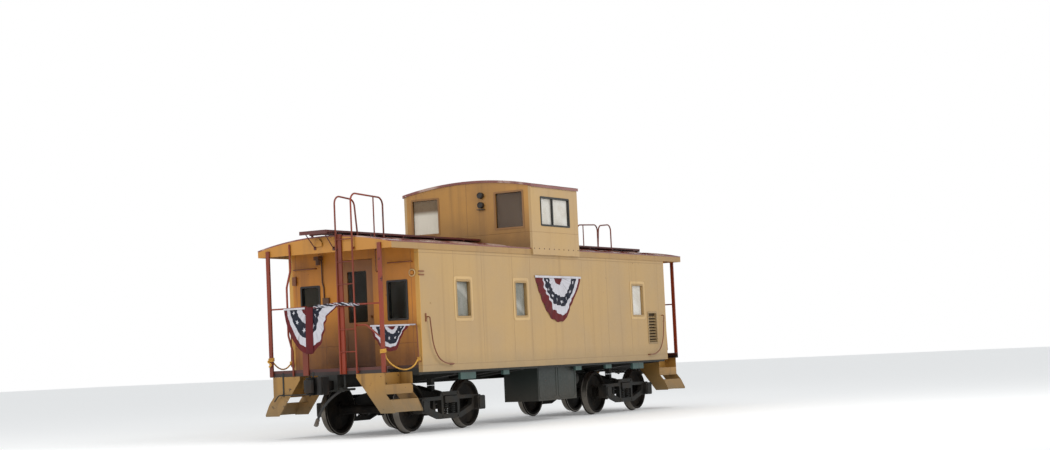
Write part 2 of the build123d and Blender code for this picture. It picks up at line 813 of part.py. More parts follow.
# Side sweep: distance from the body's end, distance across the car, height
sweep_points = [(202, skin_y, 1990), (202, grab_y, 1990), (232, grab_y, 1790),
                (282, grab_y, 1500), (432, grab_y, 1275), (672, grab_y, 1180),
                (927, grab_y, 1172), (927, skin_y, 1172)]
side_sweep = [(-body_half + along, y, z) for along, y, z in sweep_points]
corner_handle = [(skin_x, -1180, 1870), (grab_x, -1180, 1870), (grab_x, -1330, 1870),
                 (grab_x, -1350, 1240), (skin_x, -1350, 1240)]
window_bar = [(skin_x, -770, 2945), (grab_x, -770, 2945), (grab_x, -1250, 2945),
              (skin_x, -1250, 2945)]
door_bar = [(skin_x, -540, 3200), (grab_x, -540, 3200), (grab_x, -540, 2810),
            (skin_x, -540, 2810)]
grab_bend = 28
with BuildPart() as grab_irons:
    irons = [rod(run, grab_radius, grab_bend) for run in (corner_handle, window_bar)]
    irons.append(cord(side_sweep, grab_radius)[0].part)
    for iron in irons:
        add(iron)
        add(iron.mirror(Plane.XZ))
        add(iron.mirror(Plane.YZ))
        add(iron.rotate(Axis.Z, 180))
    iron = rod(door_bar, grab_radius, grab_bend)
    add(iron)
    add(iron.rotate(Axis.Z, 180))
save(grab_irons, "grab_irons")

# Lamps: two round ones on each cupola end, one over each platform with its conduit
lamp_radius = 60
lamp_reach = 70
cupola_lamp_y = -343
platform_lamp_y = 676
conduit_radius = 12
conduit_x = skin_x - conduit_radius - 2
with BuildPart() as lamp_set:
    for height in (4349, 4164):
        with BuildSketch(Plane.YZ.offset(-cupola_half - fit)):
            with Locations((cupola_lamp_y, height)):
                Circle(lamp_radius)
        extrude(amount=-lamp_reach)
    add(block(-cupola_half - lamp_reach, -cupola_half - fit, cupola_lamp_y - 75,
              cupola_lamp_y + 75, 4164 - lamp_radius - 30, 4164 - lamp_radius - 18))
    add(block(-body_half - 140, skin_x, platform_lamp_y - 50, platform_lamp_y + 50,
              3085, 3150))
    with BuildSketch(Plane.XY.offset(3000)):
        with Locations((-body_half - 80, platform_lamp_y)):
            Circle(42)
    extrude(amount=90)
    add(rod([(conduit_x, platform_lamp_y - 30, 3090), (conduit_x, platform_lamp_y - 30, 2700),
             (conduit_x, platform_lamp_y - 60, 2600), (conduit_x, platform_lamp_y - 60, 2400)],
            conduit_radius, 60))
    add(block(skin_x - 40, skin_x, platform_lamp_y - 170, platform_lamp_y - 40, 2310, 2420))
save_pair(lamp_set, "lamps")

# Equipment box on hangers, and an air reservoir on straps
box_hanger = 12
# Box and reservoir hangers: place along the car
box_places = (-430, 830)
tank_places = (1300, 1700)
tank_y = -600
tank_z = 760
tank_radius = 150
tank_start = 1050
tank_length = 880
with BuildPart() as equipment_box:
    add(block(-550, 950, -1200, -450, 385, 1030))
    for x in box_places:
        add(block(x - box_hanger / 2, x + box_hanger / 2, -1150, -500, 1030 - seam_depth,
                  bearer_top))
save(equipment_box, "equipment_box")
with BuildPart() as air_reservoir:
    with BuildSketch(Plane.YZ.offset(tank_start)):
        with Locations((tank_y, tank_z)):
            Circle(tank_radius)
    extrude(amount=tank_length)
    fillet(air_reservoir.edges().filter_by(GeomType.CIRCLE), 40)
    for x in tank_places:
        with BuildSketch(Plane.YZ.offset(x - 20)):
            with Locations((tank_y, tank_z)):
                Circle(tank_radius + box_hanger)
        extrude(amount=40)
        add(block(x - 20, x + 20, tank_y - 30, tank_y + 30, tank_z + tank_radius - 20,
                  bearer_top))
save(air_reservoir, "air_reservoir")

# Couplers: a shank hung on the draw pin, a head with two lugs, and a knuckle on its pin
head_half_height = 150
lug_gap = 115
knuckle_half_height = 110
cavity = 75
lug_radius = 66
head_corner = 12
knuckle_corner = 14
shank_end = beam_face + 180
# Head outline from above, from the shank round the guard arm to the knuckle's side:
# distance beyond the beam, distance across the car
head_outline = [
    (140, -70), (170, -150), (360, -175), (480, -215), (510, -190), (450, -110),
    (380, -50), (300, -30), (290, 190), (170, 150), (140, 70),
]
# Knuckle outline from above in the same way, from its heel round the nose to the throat
knuckle_outline = [
    (350, 187), (460, 165), (490, 90), (475, 0), (440, -30), (405, -10), (410, 40),
    (385, 80),
]


def beyond_beam(points):
    """Points of end a, from their distance beyond the beam and across the car."""
    return [(-beam_face - out, *rest) for out, *rest in points]


with BuildPart() as coupler:
    with BuildSketch(Plane.XY.offset(coupler_z - shank_depth)):
        with Locations((-(shank_end + coupler_pivot) / 2, 0)):
            Rectangle(shank_end - coupler_pivot, 2 * shank_half)
        with Locations((-coupler_pivot, 0)):
            Circle(shank_half)
            Circle(draw_pin + fit, mode=Mode.SUBTRACT)
    extrude(amount=2 * shank_depth)
    with BuildSketch(Plane.XY.offset(coupler_z - head_half_height)):
        Polygon(*beyond_beam(head_outline), align=None)
        fillet(vertices(), head_corner)
        with Locations((-knuckle_x, knuckle_y)):
            Circle(lug_radius)
        with Locations((-knuckle_x + 45, knuckle_y)):
            Rectangle(90, 120)
    extrude(amount=2 * head_half_height)
    with BuildSketch(Plane.XY.offset(coupler_z - lug_gap)):
        with Locations((-knuckle_x, knuckle_y)):
            Circle(cavity)
    extrude(amount=2 * lug_gap, mode=Mode.SUBTRACT)
    with BuildSketch(Plane.XY.offset(coupler_z - head_half_height - 15)):
        with Locations((-knuckle_x, knuckle_y)):
            Circle(knuckle_pin)
    extrude(amount=2 * head_half_height + 30)
save_both(coupler, "coupler")
with BuildPart() as knuckle:
    with BuildSketch(Plane.XY.offset(coupler_z - knuckle_half_height)):
        Polygon(*beyond_beam(knuckle_outline), align=None)
        fillet(vertices(), knuckle_corner)
        with Locations((-knuckle_x, knuckle_y)):
            Circle(lug_radius - 4)
            Circle(knuckle_pin + fit, mode=Mode.SUBTRACT)
    extrude(amount=2 * knuckle_half_height)
save_both(knuckle, "knuckle")

# Wheelset profiles for one half: distance from the middle, radius
wheel_seat = 95
axle_profile = [
    (0, 0), (0, 82), (640, 82), (652, wheel_seat), (853, wheel_seat), (856, 92), (905, 92),
    (905, journal_radius), (1085, journal_radius), (1085, 0),
]
wheel_profile = [
    (655, wheel_seat + fit), (655, 130), (690, 130), (705, 160), (735, 340), (685, 362),
    (680, 372), (680, tread_radius + 18), (690, axle_height), (700, axle_height - 2),
    (713, tread_radius + 4), (817, tread_radius - 5), (824, 408), (824, 368), (765, 345),
    (745, 160), (790, 130), (850, 130), (850, wheel_seat + fit),
]
axle_places = (-truck_centre - wheelbase / 2, -truck_centre + wheelbase / 2)
for number, place in enumerate(axle_places, start=1):
    axis_point = (place, 0, axle_height)
    with BuildPart() as wheelset:
        with BuildSketch(Plane(origin=axis_point, x_dir=(0, 1, 0), z_dir=(1, 0, 0))):
            for side in (-1, 1):
                Polygon(*[(side * y, r) for y, r in axle_profile], align=None)
                Polygon(*[(side * y, r) for y, r in wheel_profile], align=None)
        revolve(axis=Axis(axis_point, (0, 1, 0)))
    save(wheelset, f"wheelset_a{number}")
    with BuildPart() as far_wheelset:
        add(wheelset.part.rotate(Axis.Z, 180))
    save(far_wheelset, f"wheelset_b{number}")

# Truck side frames, from their own middle: arch with a spring window and journal boxes
frame_inside = frame_y - frame_thick / 2
half_base = wheelbase / 2
frame_outline = [
    (-1050, 350), (-1050, 560), (-1010, 600), (-800, 605), (-330, 612), (-290, 690),
    (290, 690), (330, 612), (800, 605), (1010, 600), (1050, 560), (1050, 350),
    (780, 350), (340, 215), (-340, 215), (-780, 350),
]
window_half = 225
window_top = 620
side_hole = [(290, 300), (700, 430), (740, 545), (290, 545)]
box_half = 125
box_out = 1120
lid_half = 95
lid_thick = 14
bore_end = 1093
guide_place = 400
guide_reach = 20
with BuildPart() as side_frame:
    with BuildSketch(Plane.XZ.offset(frame_inside)):
        Polygon(*frame_outline, align=None)
        with Locations((0, (spring_foot + window_top) / 2)):
            Rectangle(2 * window_half, window_top - spring_foot, mode=Mode.SUBTRACT)
        for side in (-1, 1):
            Polygon(*[(side * x, z) for x, z in side_hole], align=None, mode=Mode.SUBTRACT)
    extrude(amount=frame_thick)
    for side in (-1, 1):
        with BuildSketch(Plane.XZ.offset(frame_inside)):
            with Locations((side * half_base, axle_height + 10)):
                RectangleRounded(2 * box_half, 2 * box_half, 30)
        extrude(amount=box_out - frame_inside)
        with BuildSketch(Plane.XZ.offset(box_out)):
            with Locations((side * half_base, axle_height + 10)):
                RectangleRounded(2 * lid_half, 2 * lid_half, 30)
        extrude(amount=lid_thick)
        with BuildSketch(Plane.XZ.offset(frame_inside)):
            with Locations((side * half_base, axle_height)):
                Circle(journal_radius + journal_gap)
        extrude(amount=bore_end - frame_inside, mode=Mode.SUBTRACT)
        add(block(side * guide_place - 35, side * guide_place + 35, -frame_inside - 10,
                  -frame_inside + guide_reach, 310, 560))
with BuildPart() as side_frames:
    with Locations((-truck_centre, 0, 0)):
        add(side_frame.part)
        add(side_frame.part.mirror(Plane.XZ))
save_both(side_frames, "side_frames")

# Bolster across the truck on its springs, with the centre bowl and two side bearings
bolster_half = 200
bolster_end = 1060
bolster_outline = [
    (bolster_end, spring_top), (bolster_end, window_top - 12),
    (frame_inside - 15, window_top - 12), (700, 700), (250, centre_plate_top - 20),
    (-250, centre_plate_top - 20), (-700, 700), (-frame_inside + 15, window_top - 12),
    (-bolster_end, window_top - 12), (-bolster_end, spring_top), (-880, spring_top),
    (-800, 460), (-300, 540), (300, 540), (800, 460), (880, spring_top),
]
with BuildPart() as bolster:
    with BuildSketch(Plane.YZ.offset(-truck_centre - bolster_half)):
        Polygon(*bolster_outline, align=None)
    extrude(amount=2 * bolster_half)
    with BuildSketch(Plane.XY.offset(centre_plate_top - 30)):
        with Locations((-truck_centre, 0)):
            Circle(plate_radius + 25)
    extrude(amount=30)
    for side in (-1, 1):
        add(block(-truck_centre - bearing_half, -truck_centre + bearing_half,
                  side * (bearing_y - bearing_half), side * (bearing_y + bearing_half),
                  690, bearing_foot - striker_gap - 1))
save_both(bolster, "bolster")

# Springs: nests of coils between the frame's seat and the bolster's end
coil_radius = 62
coil_swell = 10
turns = 5
coil_places = (-110, 110)
coil_foot = spring_foot + fit
turn = (spring_top - fit - coil_foot) / turns
with BuildPart() as springs:
    for along in coil_places:
        for side in (-1, 1):
            foot = (-truck_centre + along, side * frame_y, coil_foot)
            with BuildSketch(Plane(origin=foot, x_dir=(1, 0, 0), z_dir=(0, -1, 0))):
                with BuildLine():
                    Polyline((coil_radius - coil_swell, 0), (0, 0), (0, turns * turn),
                             (coil_radius - coil_swell, turns * turn))
                    for count in range(turns):
                        ThreePointArc((coil_radius - coil_swell, count * turn),
                                      (coil_radius, (count + 0.5) * turn),
                                      (coil_radius - coil_swell, (count + 1) * turn))
                make_face()
            revolve(axis=Axis(foot, (0, 0, 1)))
save_both(springs, "springs")

# Brake beams with a shoe at each wheel, carried by guides on the side frames
shoe_gap = 12
shoe_width = 84
shoe_y = 765
with BuildPart() as brake_beams:
    for end, place in zip((1, -1), axle_places):
        beam_x = -truck_centre - end * guide_place
        add(block(beam_x - 22, beam_x + 22, -frame_inside + guide_reach + fit,
                  frame_inside - guide_reach - fit, 370, 430))
        for side in (-1, 1):
            with BuildSketch(Plane.XZ.offset(side * shoe_y - shoe_width / 2)):
                with Locations((beam_x - end * 32, 410)):
                    Rectangle(86, 250)
                with Locations((place, axle_height)):
                    Circle(tread_radius + shoe_gap, mode=Mode.SUBTRACT)
            extrude(amount=shoe_width)
save_both(brake_beams, "brake_beams")

# Hand brake at end b: a housing on the thick post and its wheel on the platform side
brake_y = 350
brake_z = 2080
housing_deep = 180
housing_x = -post_x - fit - housing_deep
hand_wheel_radius = 280
hand_rim = 13
hub_length = 70
rim_x = housing_x - 55
with BuildPart() as brake_housing:
    with BuildSketch(Plane.YZ.offset(housing_x)):
        with Locations((brake_y, brake_z - 60)):
            RectangleRounded(230, 380, 60)
    extrude(amount=housing_deep)
save(brake_housing, "brake_housing")
with BuildPart() as brake_wheel:
    with BuildSketch(Plane.YZ.offset(housing_x - fit)):
        with Locations((brake_y, brake_z)):
            Circle(52)
    extrude(amount=-hub_length)
    with BuildSketch(Plane(origin=(rim_x, brake_y, brake_z), x_dir=(0, 1, 0),
                           z_dir=(0, 0, 1))):
        with Locations((hand_wheel_radius, 0)):
            Circle(hand_rim)
    revolve(axis=Axis((rim_x, brake_y, brake_z), (1, 0, 0)))
    for count in range(5):
        angle = radians(90 + 72 * count)
        start = (rim_x, brake_y + 40 * cos(angle), brake_z + 40 * sin(angle))
        reach = hand_wheel_radius - hand_rim / 2
        end = (rim_x, brake_y + reach * cos(angle), brake_z + reach * sin(angle))
        add(rod([start, end], 10))
save(brake_wheel, "brake_wheel")

# Uncoupling levers: a rod along each end beam on two hangers, with a bent handle
lever_radius = 10
lever_x = post_x - 55
lever_z = 760
lever_hangers = (300, 940)
with BuildPart() as lever:
    add(rod([(lever_x, 225, lever_z), (lever_x, 1010, lever_z), (lever_x, 1105, 655)],
            lever_radius, 60))
    for y in lever_hangers:
        add(block(post_x - 8, post_x, y - 15, y + 15, lever_z - 20, post_foot + 60))
        add(block(lever_x, post_x, y - 6, y + 6, lever_z - 16, lever_z + 16))
save_pair(lever, "uncoupling_levers")

# Angle cocks: the end of the train pipe under each beam, with a valve and its bracket
hose_radius = 22
hose_route = beyond_beam([
    (145, -330, 785), (245, -322, 745), (334, -298, 688), (406, -259, 616),
    (452, -211, 532), (470, -160, 441), (466, -113, 352),
])
nose_length = 92
nose_start = Vector(*hose_route[0])
nose_line = (Vector(*hose_route[1]) - nose_start).normalized()
nose_face = nose_start - nose_line * fit
cock = nose_start - nose_line * nose_length
with BuildPart() as angle_cock:
    add(rod([(-beam_face + 300, cock.Y, cock.Z), tuple(cock)], 20))
    with BuildSketch(Plane.YZ.offset(cock.X - 45)):
        with Locations((cock.Y, cock.Z)):
            Circle(34)
    extrude(amount=90)
    add(rod([tuple(cock), tuple(nose_face)], 26))
    add(block(-beam_face + 20, -beam_face + 40, cock.Y - 15, cock.Y + 15, cock.Z, stair_top))
save_pair(angle_cock, "angle_cocks")

# Free cords: the air hose and the two ropes
for label, route, radius in (
    ("air_hose", hose_route, hose_radius),
    ("rope_near", near_rope, rope_radius),
    ("rope_far", far_rope, rope_radius),
):
    tube, length = cord(route, radius)
    print(label, "length", round(length), "radii", [round(r) for r in bend_radii(route)])
    save(tube, label)

# Hose coupling: a nut round the hose's end and a flat-faced head
hose_end = Vector(*hose_route[-1])
hose_line = (hose_end - Vector(*hose_route[-2])).normalized()
nut_plane = Plane(origin=tuple(hose_end + hose_line * fit), x_dir=(1, 0, 0),
                  z_dir=tuple(hose_line))
with BuildPart() as hose_coupling:
    with BuildSketch(nut_plane):
        RegularPolygon(radius=34, side_count=6)
    extrude(amount=40)
    with BuildSketch(nut_plane.offset(38)):
        RectangleRounded(70, 56, 20)
    extrude(amount=90)
    with BuildSketch(nut_plane.offset(64)):
        with Locations((0, 20)):
            Circle(26)
    extrude(amount=40)
save(hose_coupling, "hose_coupling")

# Bunting: three half-round fans, as plain plates where the cloth hangs
cloth_thick = 22
roll_radius = 20
side_fan = (84, 2760, 911, 887)
rail_fan = (505, 2254, 535, 764)
stair_fan_top = 1880
stair_fan_drop = 460
stair_fan_ends = [(-beam_face + 12, -880), (grab_x - 13, -1203.8)]


def half_round(plane, across, down):
    """A flat plate under a straight top edge, with a half-ellipse below it."""
    with BuildPart() as piece:
        with BuildSketch(plane):
            with BuildLine():
                EllipticalCenterArc((0, 0), across, down, 180, arc_size=180)
                Line((-across, 0), (across, 0))
            make_face()
        extrude(amount=cloth_thick)
    return piece


centre, top, across, down = side_fan
save(half_round(Plane(origin=(centre, skin_y, top), x_dir=(1, 0, 0), z_dir=(0, -1, 0)),
                across, down), "bunting_side")
roll_x = stile_x - stile_radius - fit - roll_radius
cloth_x = roll_x + roll_radius - 2
centre, top, across, down = rail_fan
rail_cloth = half_round(Plane(origin=(cloth_x, centre, top), x_dir=(0, -1, 0),
                              z_dir=(-1, 0, 0)), across, down)
with BuildPart() as bunting_rail:
    add(rail_cloth.part)
    add(rod([(roll_x, centre, rail_z), (roll_x, -780, rail_z)], roll_radius))
save(bunting_rail, "bunting_rail")
stair_run = Vector(*stair_fan_ends[1]) - Vector(*stair_fan_ends[0])
stair_middle = (Vector(*stair_fan_ends[0]) + Vector(*stair_fan_ends[1])) / 2
stair_face = Vector(stair_run.Y, -stair_run.X, 0).normalized()
stair_origin = stair_middle - stair_face * (cloth_thick / 2) + Vector(0, 0, stair_fan_top)
save(half_round(Plane(origin=tuple(stair_origin), x_dir=tuple(stair_run.normalized()),
                      z_dir=tuple(stair_face)),
                stair_run.length / 2, stair_fan_drop), "bunting_stairs")
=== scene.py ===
# %% [markdown]
# # A cupola caboose, dressed for a soft studio
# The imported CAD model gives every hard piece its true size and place, in metres. This
# lesson adds what a drawing can't show: paint that has been out in the sun, gathered cloth,
# laid rope, rivets and blinds. Each step says what the real thing is and why it is made
# the way it is.

import bmesh
import bpy
import numpy as np
from mathutils import Matrix, Vector


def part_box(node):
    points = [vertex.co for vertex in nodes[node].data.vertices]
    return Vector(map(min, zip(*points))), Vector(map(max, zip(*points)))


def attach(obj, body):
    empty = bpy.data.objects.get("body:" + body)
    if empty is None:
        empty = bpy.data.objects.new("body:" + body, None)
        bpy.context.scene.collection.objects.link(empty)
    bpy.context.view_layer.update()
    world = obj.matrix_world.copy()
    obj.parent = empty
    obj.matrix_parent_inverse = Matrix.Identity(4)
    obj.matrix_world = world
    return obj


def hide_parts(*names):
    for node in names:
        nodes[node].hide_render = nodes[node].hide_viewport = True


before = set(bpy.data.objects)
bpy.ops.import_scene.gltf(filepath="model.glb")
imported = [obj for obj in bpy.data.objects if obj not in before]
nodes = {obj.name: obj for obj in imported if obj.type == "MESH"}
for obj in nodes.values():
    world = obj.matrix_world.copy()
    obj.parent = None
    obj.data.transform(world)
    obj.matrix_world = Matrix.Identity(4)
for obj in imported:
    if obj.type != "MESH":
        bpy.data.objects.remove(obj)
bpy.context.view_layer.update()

# %% [markdown]
# ## Camera
# The photograph was taken from about 36 m away, from the near left, with a normal lens
# held slightly turned. A far camera keeps the car's parallel lines nearly parallel. The
# camera first looks straight down, so its pitch is counted from a quarter turn.

# %% Camera
camera_place = (-31.085, -18.730, 1.198)
heading, pitch, roll = np.radians([-59.961, 4.132, 2.621])
focal_pixels = 1850.4
photo_width = 1050
camera_data = bpy.data.cameras.new("camera")
camera_data.sensor_width = 36.0
camera_data.lens = focal_pixels / photo_width * camera_data.sensor_width
camera_data.clip_end = 400.0
camera = bpy.data.objects.new("camera", camera_data)
camera.matrix_world = (
    Matrix.Translation(camera_place) @ Matrix.Rotation(heading, 4, "Z")
    @ Matrix.Rotation(np.pi / 2 + pitch, 4, "X") @ Matrix.Rotation(-roll, 4, "Z"))
bpy.context.collection.objects.link(camera)
bpy.context.scene.camera = camera
print("lens", round(camera_data.lens, 2), "mm")

# %% [markdown]
# ## Shader maths as plain sums
# A pattern such as rust that grows where a wall is low and rough is a sum of a few
# numbers for each point. Blender writes such a sum as a chain of Math nodes. The class
# below wraps one socket, so that the chain can be written as a Python expression.


# %% A socket that can be reckoned with
def between(operation):
    """A method for the sign between a Wire and another value."""
    return lambda wire, other: wire.math(operation, wire, other)


class Wire:
    """A node's output that takes part in sums: each sign adds one Math node."""

    def __init__(self, finish, socket):
        self.finish = finish
        self.socket = socket

    def math(self, operation, *values):
        """A Math node that is fed with the values in their order."""
        return self.finish.add("ShaderNodeMath", {"operation": operation},
                               dict(enumerate(values)))

    __add__ = between("ADD")
    __sub__ = between("SUBTRACT")
    __mul__ = between("MULTIPLY")
    __truediv__ = between("DIVIDE")
    __pow__ = between("POWER")
    __mod__ = between("FLOORED_MODULO")

    def __rsub__(self, other):
        return self.math("SUBTRACT", other, self)

    def __abs__(self):
        return self.math("ABSOLUTE", self)

    def clamp(self):
        """The value held between 0 and 1."""
        return self.finish.add("ShaderNodeClamp", {}, {0: self})

    def ramp(self, low, high):
        """0 below low and 1 above high, rising smoothly between them."""
        return self.finish.add("ShaderNodeMapRange", {"interpolation_type": "SMOOTHSTEP"},
                               {0: self, 1: low, 2: high})

    def over(self, limit):
        """1 where the value is greater than the limit, and 0 elsewhere."""
        return self.math("GREATER_THAN", self, limit)


# %% A finish: one material with its nodes
def paint(red, green, blue):
    """A colour as seen, 0 to 255 a channel, as the linear colour that a shader takes."""
    seen = np.array([red, green, blue]) / 255
    linear = np.where(seen <= 0.04045, seen / 12.92, ((seen + 0.055) / 1.055) ** 2.4)
    return (*linear.tolist(), 1.0)


class Finish:
    """A material whose nodes are added one call at a time."""

    def __init__(self, name, **sockets):
        self.material = bpy.data.materials.new(name)
        self.material.use_nodes = True
        self.tree = self.material.node_tree
        self.shader = self.tree.nodes["Principled BSDF"]
        self.set(**sockets)

    def add(self, kind, settings, inputs, output=0):
        """Add a node: first its settings, then a value or a Wire for each input."""
        node = self.tree.nodes.new(kind)
        for key, value in settings.items():
            setattr(node, key, value)
        for key, value in inputs.items():
            self.feed(node.inputs[key], value)
        return Wire(self, node.outputs[output])

    def feed(self, socket, value):
        """Link a Wire to a socket, or set the socket's own value."""
        if isinstance(value, Wire):
            self.tree.links.new(value.socket, socket)
        else:
            socket.default_value = value

    def set(self, **sockets):
        """Feed the shader's sockets, with _ for a space: base_color, roughness, normal."""
        for key, value in sockets.items():
            self.feed(self.shader.inputs[key.replace("_", " ").title()
                                         .replace("Ior", "IOR")], value)

    def place(self, scale=(1.0, 1.0, 1.0)):
        """The point's place on the piece, in metres, stretched by scale."""
        point = self.add("ShaderNodeTexCoord", {}, {}, "Object")
        return self.add("ShaderNodeMapping", {}, {"Vector": point, "Scale": scale})

    def axis(self, index):
        """One of the place's three coordinates."""
        return self.add("ShaderNodeSeparateXYZ", {}, {0: self.place()}, index)

    def noise(self, scale, stretch=(1.0, 1.0, 1.0), detail=4.0, rough=0.55):
        """Cloudy noise from 0 to 1, scale times a metre."""
        return self.add("ShaderNodeTexNoise", {},
                        {"Vector": self.place(stretch), "Scale": scale,
                         "Detail": detail, "Roughness": rough})

    def mix(self, share, first, second):
        """A colour between two, by share."""
        return self.add("ShaderNodeMix", {"data_type": "RGBA"},
                        {0: share, 6: first, 7: second}, 2)

    def bump(self, height, distance):
        """The normal of a surface raised by height times distance, in metres."""
        return self.add("ShaderNodeBump", {}, {"Height": height, "Distance": distance})


def two_tone(name, first, second, share, grit=None, **sockets):
    """A finish of two colours, mixed by share(coat), that may glow in the same tone as painted
    light.

    grit is the scale of a fine noise and the height in metres that it raises.
    """
    coat = Finish(name, **sockets)
    tone = coat.mix(share(coat), paint(*first), paint(*second))
    coat.set(base_color=tone)
    # A glow in the finish's own tone is painted light, not a lamp.
    if "emission_strength" in sockets:
        coat.set(emission_color=tone)
    if grit:
        scale, height = grit
        coat.set(normal=coat.bump(coat.noise(scale), height))
    return coat


# %% [markdown]
# ## Weathered enamel
# Railway enamel chalks and darkens in clouds, rain draws it into upright streaks, dust settles
# on its low parts, and it flakes off in chips. The same darkening towards the foot is used as
# painted shade on the end walls and doors. One function makes them all from noise at four
# scales, and each painted piece gets its own colours and amounts. A zone is a part of the piece
# in another colour, and a joint is the dark line between two sheets.


# %% Where a zone or a joint is
def beyond(index, limit):
    """A zone: 1 where the place's coordinate, either way, is further out than the limit."""
    return lambda coat: abs(coat.axis(index)).over(limit)


def below(height):
    """A zone: 1 below a height."""
    return lambda coat: 1.0 - coat.axis(2).over(height)


def painted_sky_glints(coat):
    """A zone: pale patches on a roof's slopes, between crown and eave, painted as reflections
    of the sky.
    """
    out = abs(coat.axis(1))
    slope = out.ramp(0.55, 0.75) * (1.0 - out.ramp(1.27, 1.32))
    patches = coat.noise(1.1, (0.6, 2.0, 1.0), detail=7.0, rough=0.62).ramp(0.42, 0.6)
    return slope * patches * 0.62


def line_at(value, place, half=0.003):
    """1 within half of a place, falling to 0 over the next 6 mm."""
    return 1.0 - abs(value - place).ramp(half, half + 0.006)


# %% Weathered enamel
def finish_nodes(coat, *names):
    """Give CAD nodes a finish in place of the one they were packed with."""
    for name in names:
        for holder in nodes[name].material_slots:
            holder.material = coat.material
    print(coat.material.name, "on", len(names), "nodes")


def enamel(name, names, colour, faded, streak, rough=0.45, streaks=0.5, chips=0.0,
           chip_colour=(69.3, 38.7, 28.6), dust=None, grain=0.0006, zones=(), joints=None,
           dents=0.0, coat_weight=0.0):
    """Paint for the named nodes, with clouds of fading, upright streaks, chips and dust.

    Share of the faded colour: ramp of noise at 0.7 per metre. Share of the streak colour: ramp
    of noise stretched 25 times upright. Chips: where noise at 9 per metre is over a limit that
    falls as chips grows. Dust, which on the end walls and doors is painted shade: rises
    linearly from its top to its foot.
    """
    coat = Finish(name, coat_weight=coat_weight, coat_roughness=0.12)
    clouds = coat.noise(0.7, detail=6.0).ramp(0.35, 0.68)
    tone = coat.mix(clouds, paint(*colour), paint(*faded))
    for zone, other in zones:
        tone = coat.mix(zone(coat), tone, paint(*other))
    rain = coat.noise(5.0, (1.0, 1.0, 0.04), detail=6.0).ramp(0.5, 0.78) * streaks
    tone = coat.mix(rain, tone, paint(*streak))
    roughness = coat.noise(22.0).ramp(0.2, 0.8) * 0.14 + (rough - 0.07)
    height = coat.noise(160.0, detail=2.0)
    if dents:
        height = height + coat.noise(2.2, detail=3.0) * dents
    if joints:
        line = joints(coat)
        tone = coat.mix(line * 0.5, tone, paint(*streak))
        height = height - line * 4.0
    if chips:
        limit = 0.72 - 0.12 * chips
        flakes = coat.noise(9.0, detail=9.0, rough=0.68).ramp(limit, limit + 0.01)
        tone = coat.mix(flakes, tone, paint(*chip_colour))
        roughness = roughness + flakes * 0.25
        height = height - flakes * 1.5
    # A tone that rises towards the foot: settled dust on most pieces, painted shade on the end
    # walls and doors.
    if dust:
        foot, top, dust_and_shade_colour = dust
        low = ((top - coat.axis(2)) / (top - foot)).clamp()
        settled_dust_and_shade = (low * (coat.noise(3.0, detail=6.0) + 0.35)).clamp()
        tone = coat.mix(settled_dust_and_shade, tone, paint(*dust_and_shade_colour))
        roughness = (roughness + settled_dust_and_shade * 0.2).clamp()
    coat.set(base_color=tone, roughness=roughness, normal=coat.bump(height, grain))
    finish_nodes(coat, *names)
    return coat


def both_ends(*names):
    """Each name with the suffix of end a and of end b."""
    return [f"{name}_{end}" for name in names for end in "ab"]


# %% [markdown]
# ## Body paint
# The long sides are tan, the ends a deeper ochre, the boards under the roof are paler on the
# sides, and the roof and its trim are dark red, glossy and a little dented, so that a low view
# catches the sky in the sheets. Pale patches on the roof's slopes are painted reflections of
# that sky, and its pale chips are flaked paint that also serves as painted reflection. The ends
# and their doors grow darker towards the foot as painted shade. The sides are built of sheets
# whose joints show as thin dark lines: upright ones at uneven steps, and level ones at the
# floor and eaves.


# %% Joints between the sheets
side_joints = (-3.66, -2.72, -1.64, -0.98, 1.06, 2.10, 3.13, 4.42)
floor_joint, eaves_joint = 1.165, 3.095


def side_lines(coat):
    """Upright lines at the side's joints, counted from the car's own left on both sides."""
    high = coat.axis(2)
    along = coat.axis(0) * (1.0 - coat.axis(1).over(0.0) * 2.0)
    lines = line_at(high, floor_joint) + line_at(high, eaves_joint)
    for place in side_joints:
        lines = lines + line_at(along, place) * high.over(floor_joint)
    return lines.clamp()


def end_lines(coat):
    """Lines beside the doorway and near the corners, and a level one at the knee."""
    out = abs(coat.axis(1))
    return (line_at(out, 0.62) + line_at(out, 1.22) + line_at(coat.axis(2), 1.56)).clamp()


def cupola_lines(coat):
    """A level line under the cupola's windows and an upright one in its ends' middle."""
    return (line_at(coat.axis(2), 3.585) + line_at(coat.axis(1), 0.0)).clamp()


# %% Body paint
side_coat = enamel(
    "side_enamel", ["side_wall_near", "side_wall_off"], (181, 147, 95), (173, 143, 100),
    (136, 103, 62), rough=0.42, streaks=0.3, chips=0.12, dust=(1.05, 1.4, (156, 132, 96)),
    joints=side_lines, zones=[(beyond(0, 4.744), (196, 146, 66))])
enamel("cupola_enamel", ["cupola_sides"], (184, 150, 98), (178, 148, 106), (150, 112, 62),
       rough=0.4, streaks=0.35, chips=0.12, joints=cupola_lines)
enamel("cupola_end_enamel", ["cupola_ends"], (184, 132, 56), (166, 118, 54), (122, 84, 40),
       rough=0.4, streaks=0.55, chips=0.15, dust=(3.3, 4.1, (118, 86, 46)),
       joints=cupola_lines)
# The end walls grow darker towards the foot: the dust colour here is painted shade.
end_coat = enamel(
    "end_enamel", ["end_walls"], (198, 126, 30), (174, 108, 32), (112, 66, 30), rough=0.4,
    streaks=0.6, chips=0.2, dust=(1.05, 2.25, (82, 48, 27)), joints=end_lines)
